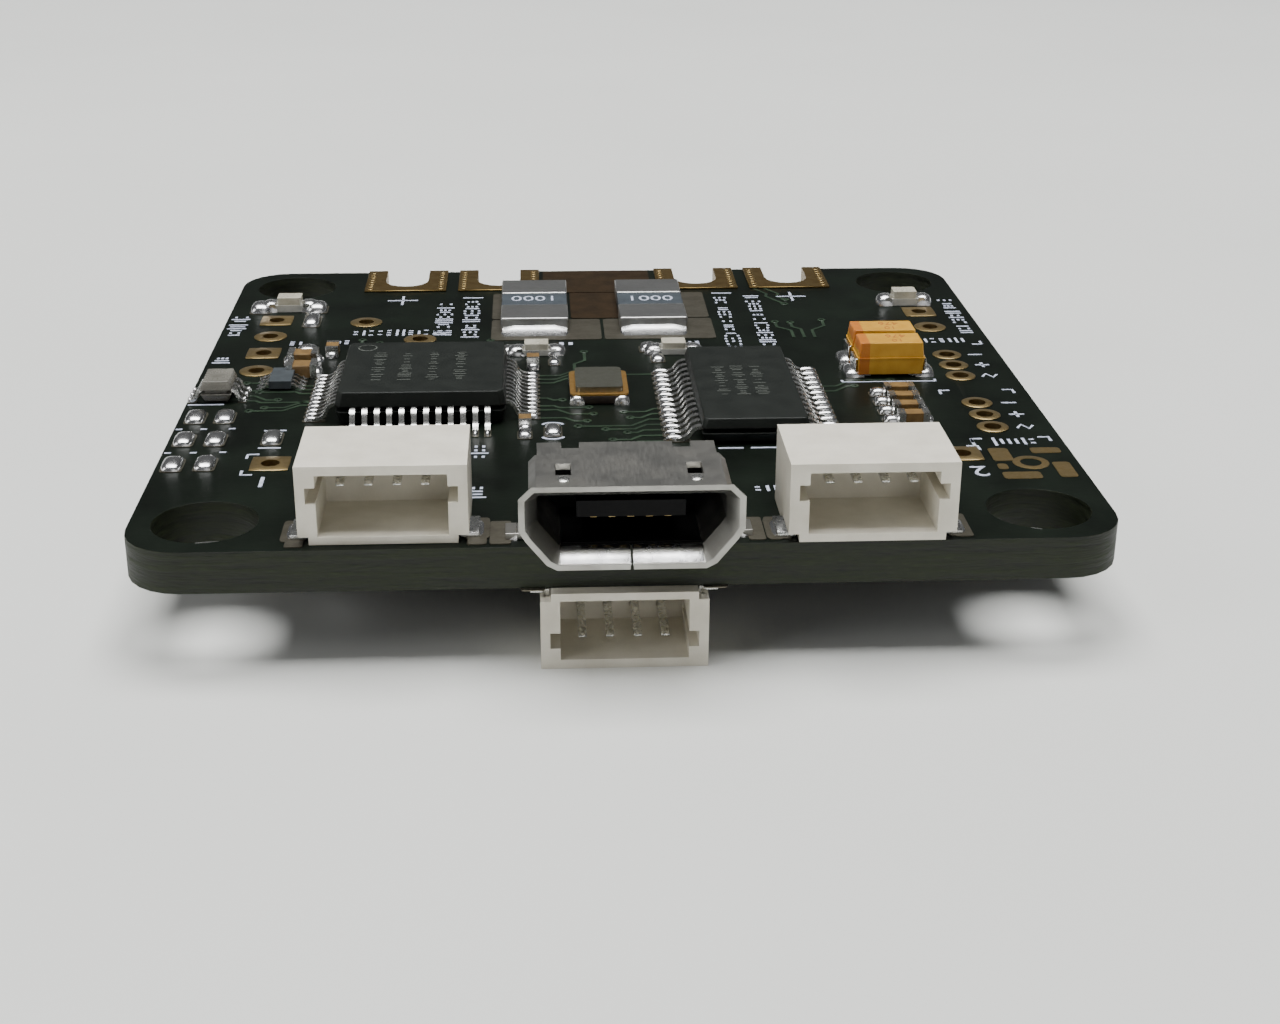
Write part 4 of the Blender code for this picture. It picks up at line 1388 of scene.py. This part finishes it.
def makeUnderside():
    pads = []
    for node, finishName, slot, ease in underParts:
        eased(node + "_part", node, (ease, 3, 30), finishName)
        low, high = nodeBox(node)
        mid, half = (low + high) / 2, halves(low, high)
        if node == "power_inductor":
            for out in (-1, 1):
                x = mid.x + out * (high.x - low.x) * underPads["coilAt"]
                pads.append(((x, mid.y, -thick - skin), 0, underPads["coilSize"], True))
            continue
        for turn in (0, 90, 180, 270):
            reach = half[0 if turn % 180 == 0 else 1] * underPads["reach"]
            for shift in rowShifts(underPads["count"], underPads["pitch"]):
                place = (*outward(mid, reach, shift, turn), -thick - skin)
                pads.append((place, -turn, underPads["size"], True))
    placed("underside_pads", padShape(), pads, "solder", "contact_tin")
    dots = [((x, y, -thick - 0.001), 0, (1, 1, 0.04), True) for x, y in testPads]
    placed("test_pads", prism(roundPoints(0.5, 20), 0, 1), dots, "padGold", "pad_gold")


makeUnderside()
print("underside")

# Studio: pale floor, one big soft box above, weak ones at the left and front, dim surroundings.
studio = dict(
    floorSize=12, aim=(0, 0, 0.004), sky=(0.8, 0.82, 0.84, 1), skyRise=(0.01, 0.11), skyGlow=(0.7, 0.09),
)
lights = {
    "overhead": dict(place=(0.0, 0.02, 0.34), size=0.26, power=2.5),
    "leftFill": dict(place=(-0.34, -0.16, 0.2), size=0.22, power=0.5),
    "frontFill": dict(place=(0.1, -0.4, 0.12), size=0.25, power=0.15),
}


def makeStudio():
    bpy.ops.mesh.primitive_grid_add(x_subdivisions=2, y_subdivisions=2, size=studio["floorSize"])
    floor = bpy.context.object
    floor.name = "floor"
    floor.data.transform(Matrix.Translation((0, 0, cadBox[0].z)))
    floor.data.materials.append(finishes["floor"])
    for name, look in lights.items():
        lamp = bpy.data.lights.new(name, "AREA")
        lamp.size, lamp.energy = look["size"], look["power"]
        holder = bpy.data.objects.new(name, lamp)
        bpy.context.scene.collection.objects.link(holder)
        place = Vector(look["place"])
        holder.location = place
        holder.rotation_euler = (Vector(studio["aim"]) - place).to_track_quat("-Z", "Y").to_euler()
    world = bpy.data.worlds.new("studio")
    bpy.context.scene.world = world
    world.use_nodes = True
    world.node_tree.nodes.clear()
    graph = Graph(world.node_tree)
    facing = graph.out(graph.node("ShaderNodeTexCoord"), "Generated")
    rise = graph.out(graph.node("ShaderNodeSeparateXYZ", None, {0: facing}), 2)
    # brightest at the horizon, where the floor ends
    (low, high), (near, far) = studio["skyRise"], studio["skyGlow"]
    strength = graph.out(graph.node("ShaderNodeMapRange", None, {0: rise, 1: low, 2: high, 3: near, 4: far}))
    glow = graph.node("ShaderNodeBackground", None, {"Color": studio["sky"], "Strength": strength})
    shown = graph.node("ShaderNodeOutputWorld")
    world.node_tree.links.new(glow.outputs[0], shown.inputs["Surface"])


view = dict(
    lens=54.08, place=(-0.00318, -0.07925, 0.0317),
    ahead=(0.0523, 0.9216, -0.3846), right=(0.9985, -0.0545, 0.0051),
)


def makeCamera():
    camera = bpy.data.cameras.new("camera")
    camera.lens, camera.sensor_width, camera.clip_start, camera.clip_end = view["lens"], 36, 0.001, 10
    holder = bpy.data.objects.new("camera", camera)
    bpy.context.scene.collection.objects.link(holder)
    ahead, right = Vector(view["ahead"]).normalized(), Vector(view["right"])
    right = (right - ahead * right.dot(ahead)).normalized()
    turn = Matrix((right, right.cross(ahead), -ahead)).transposed().to_4x4()
    holder.matrix_world = Matrix.Translation(view["place"]) @ turn
    bpy.context.scene.camera = holder


makeStudio()
makeCamera()
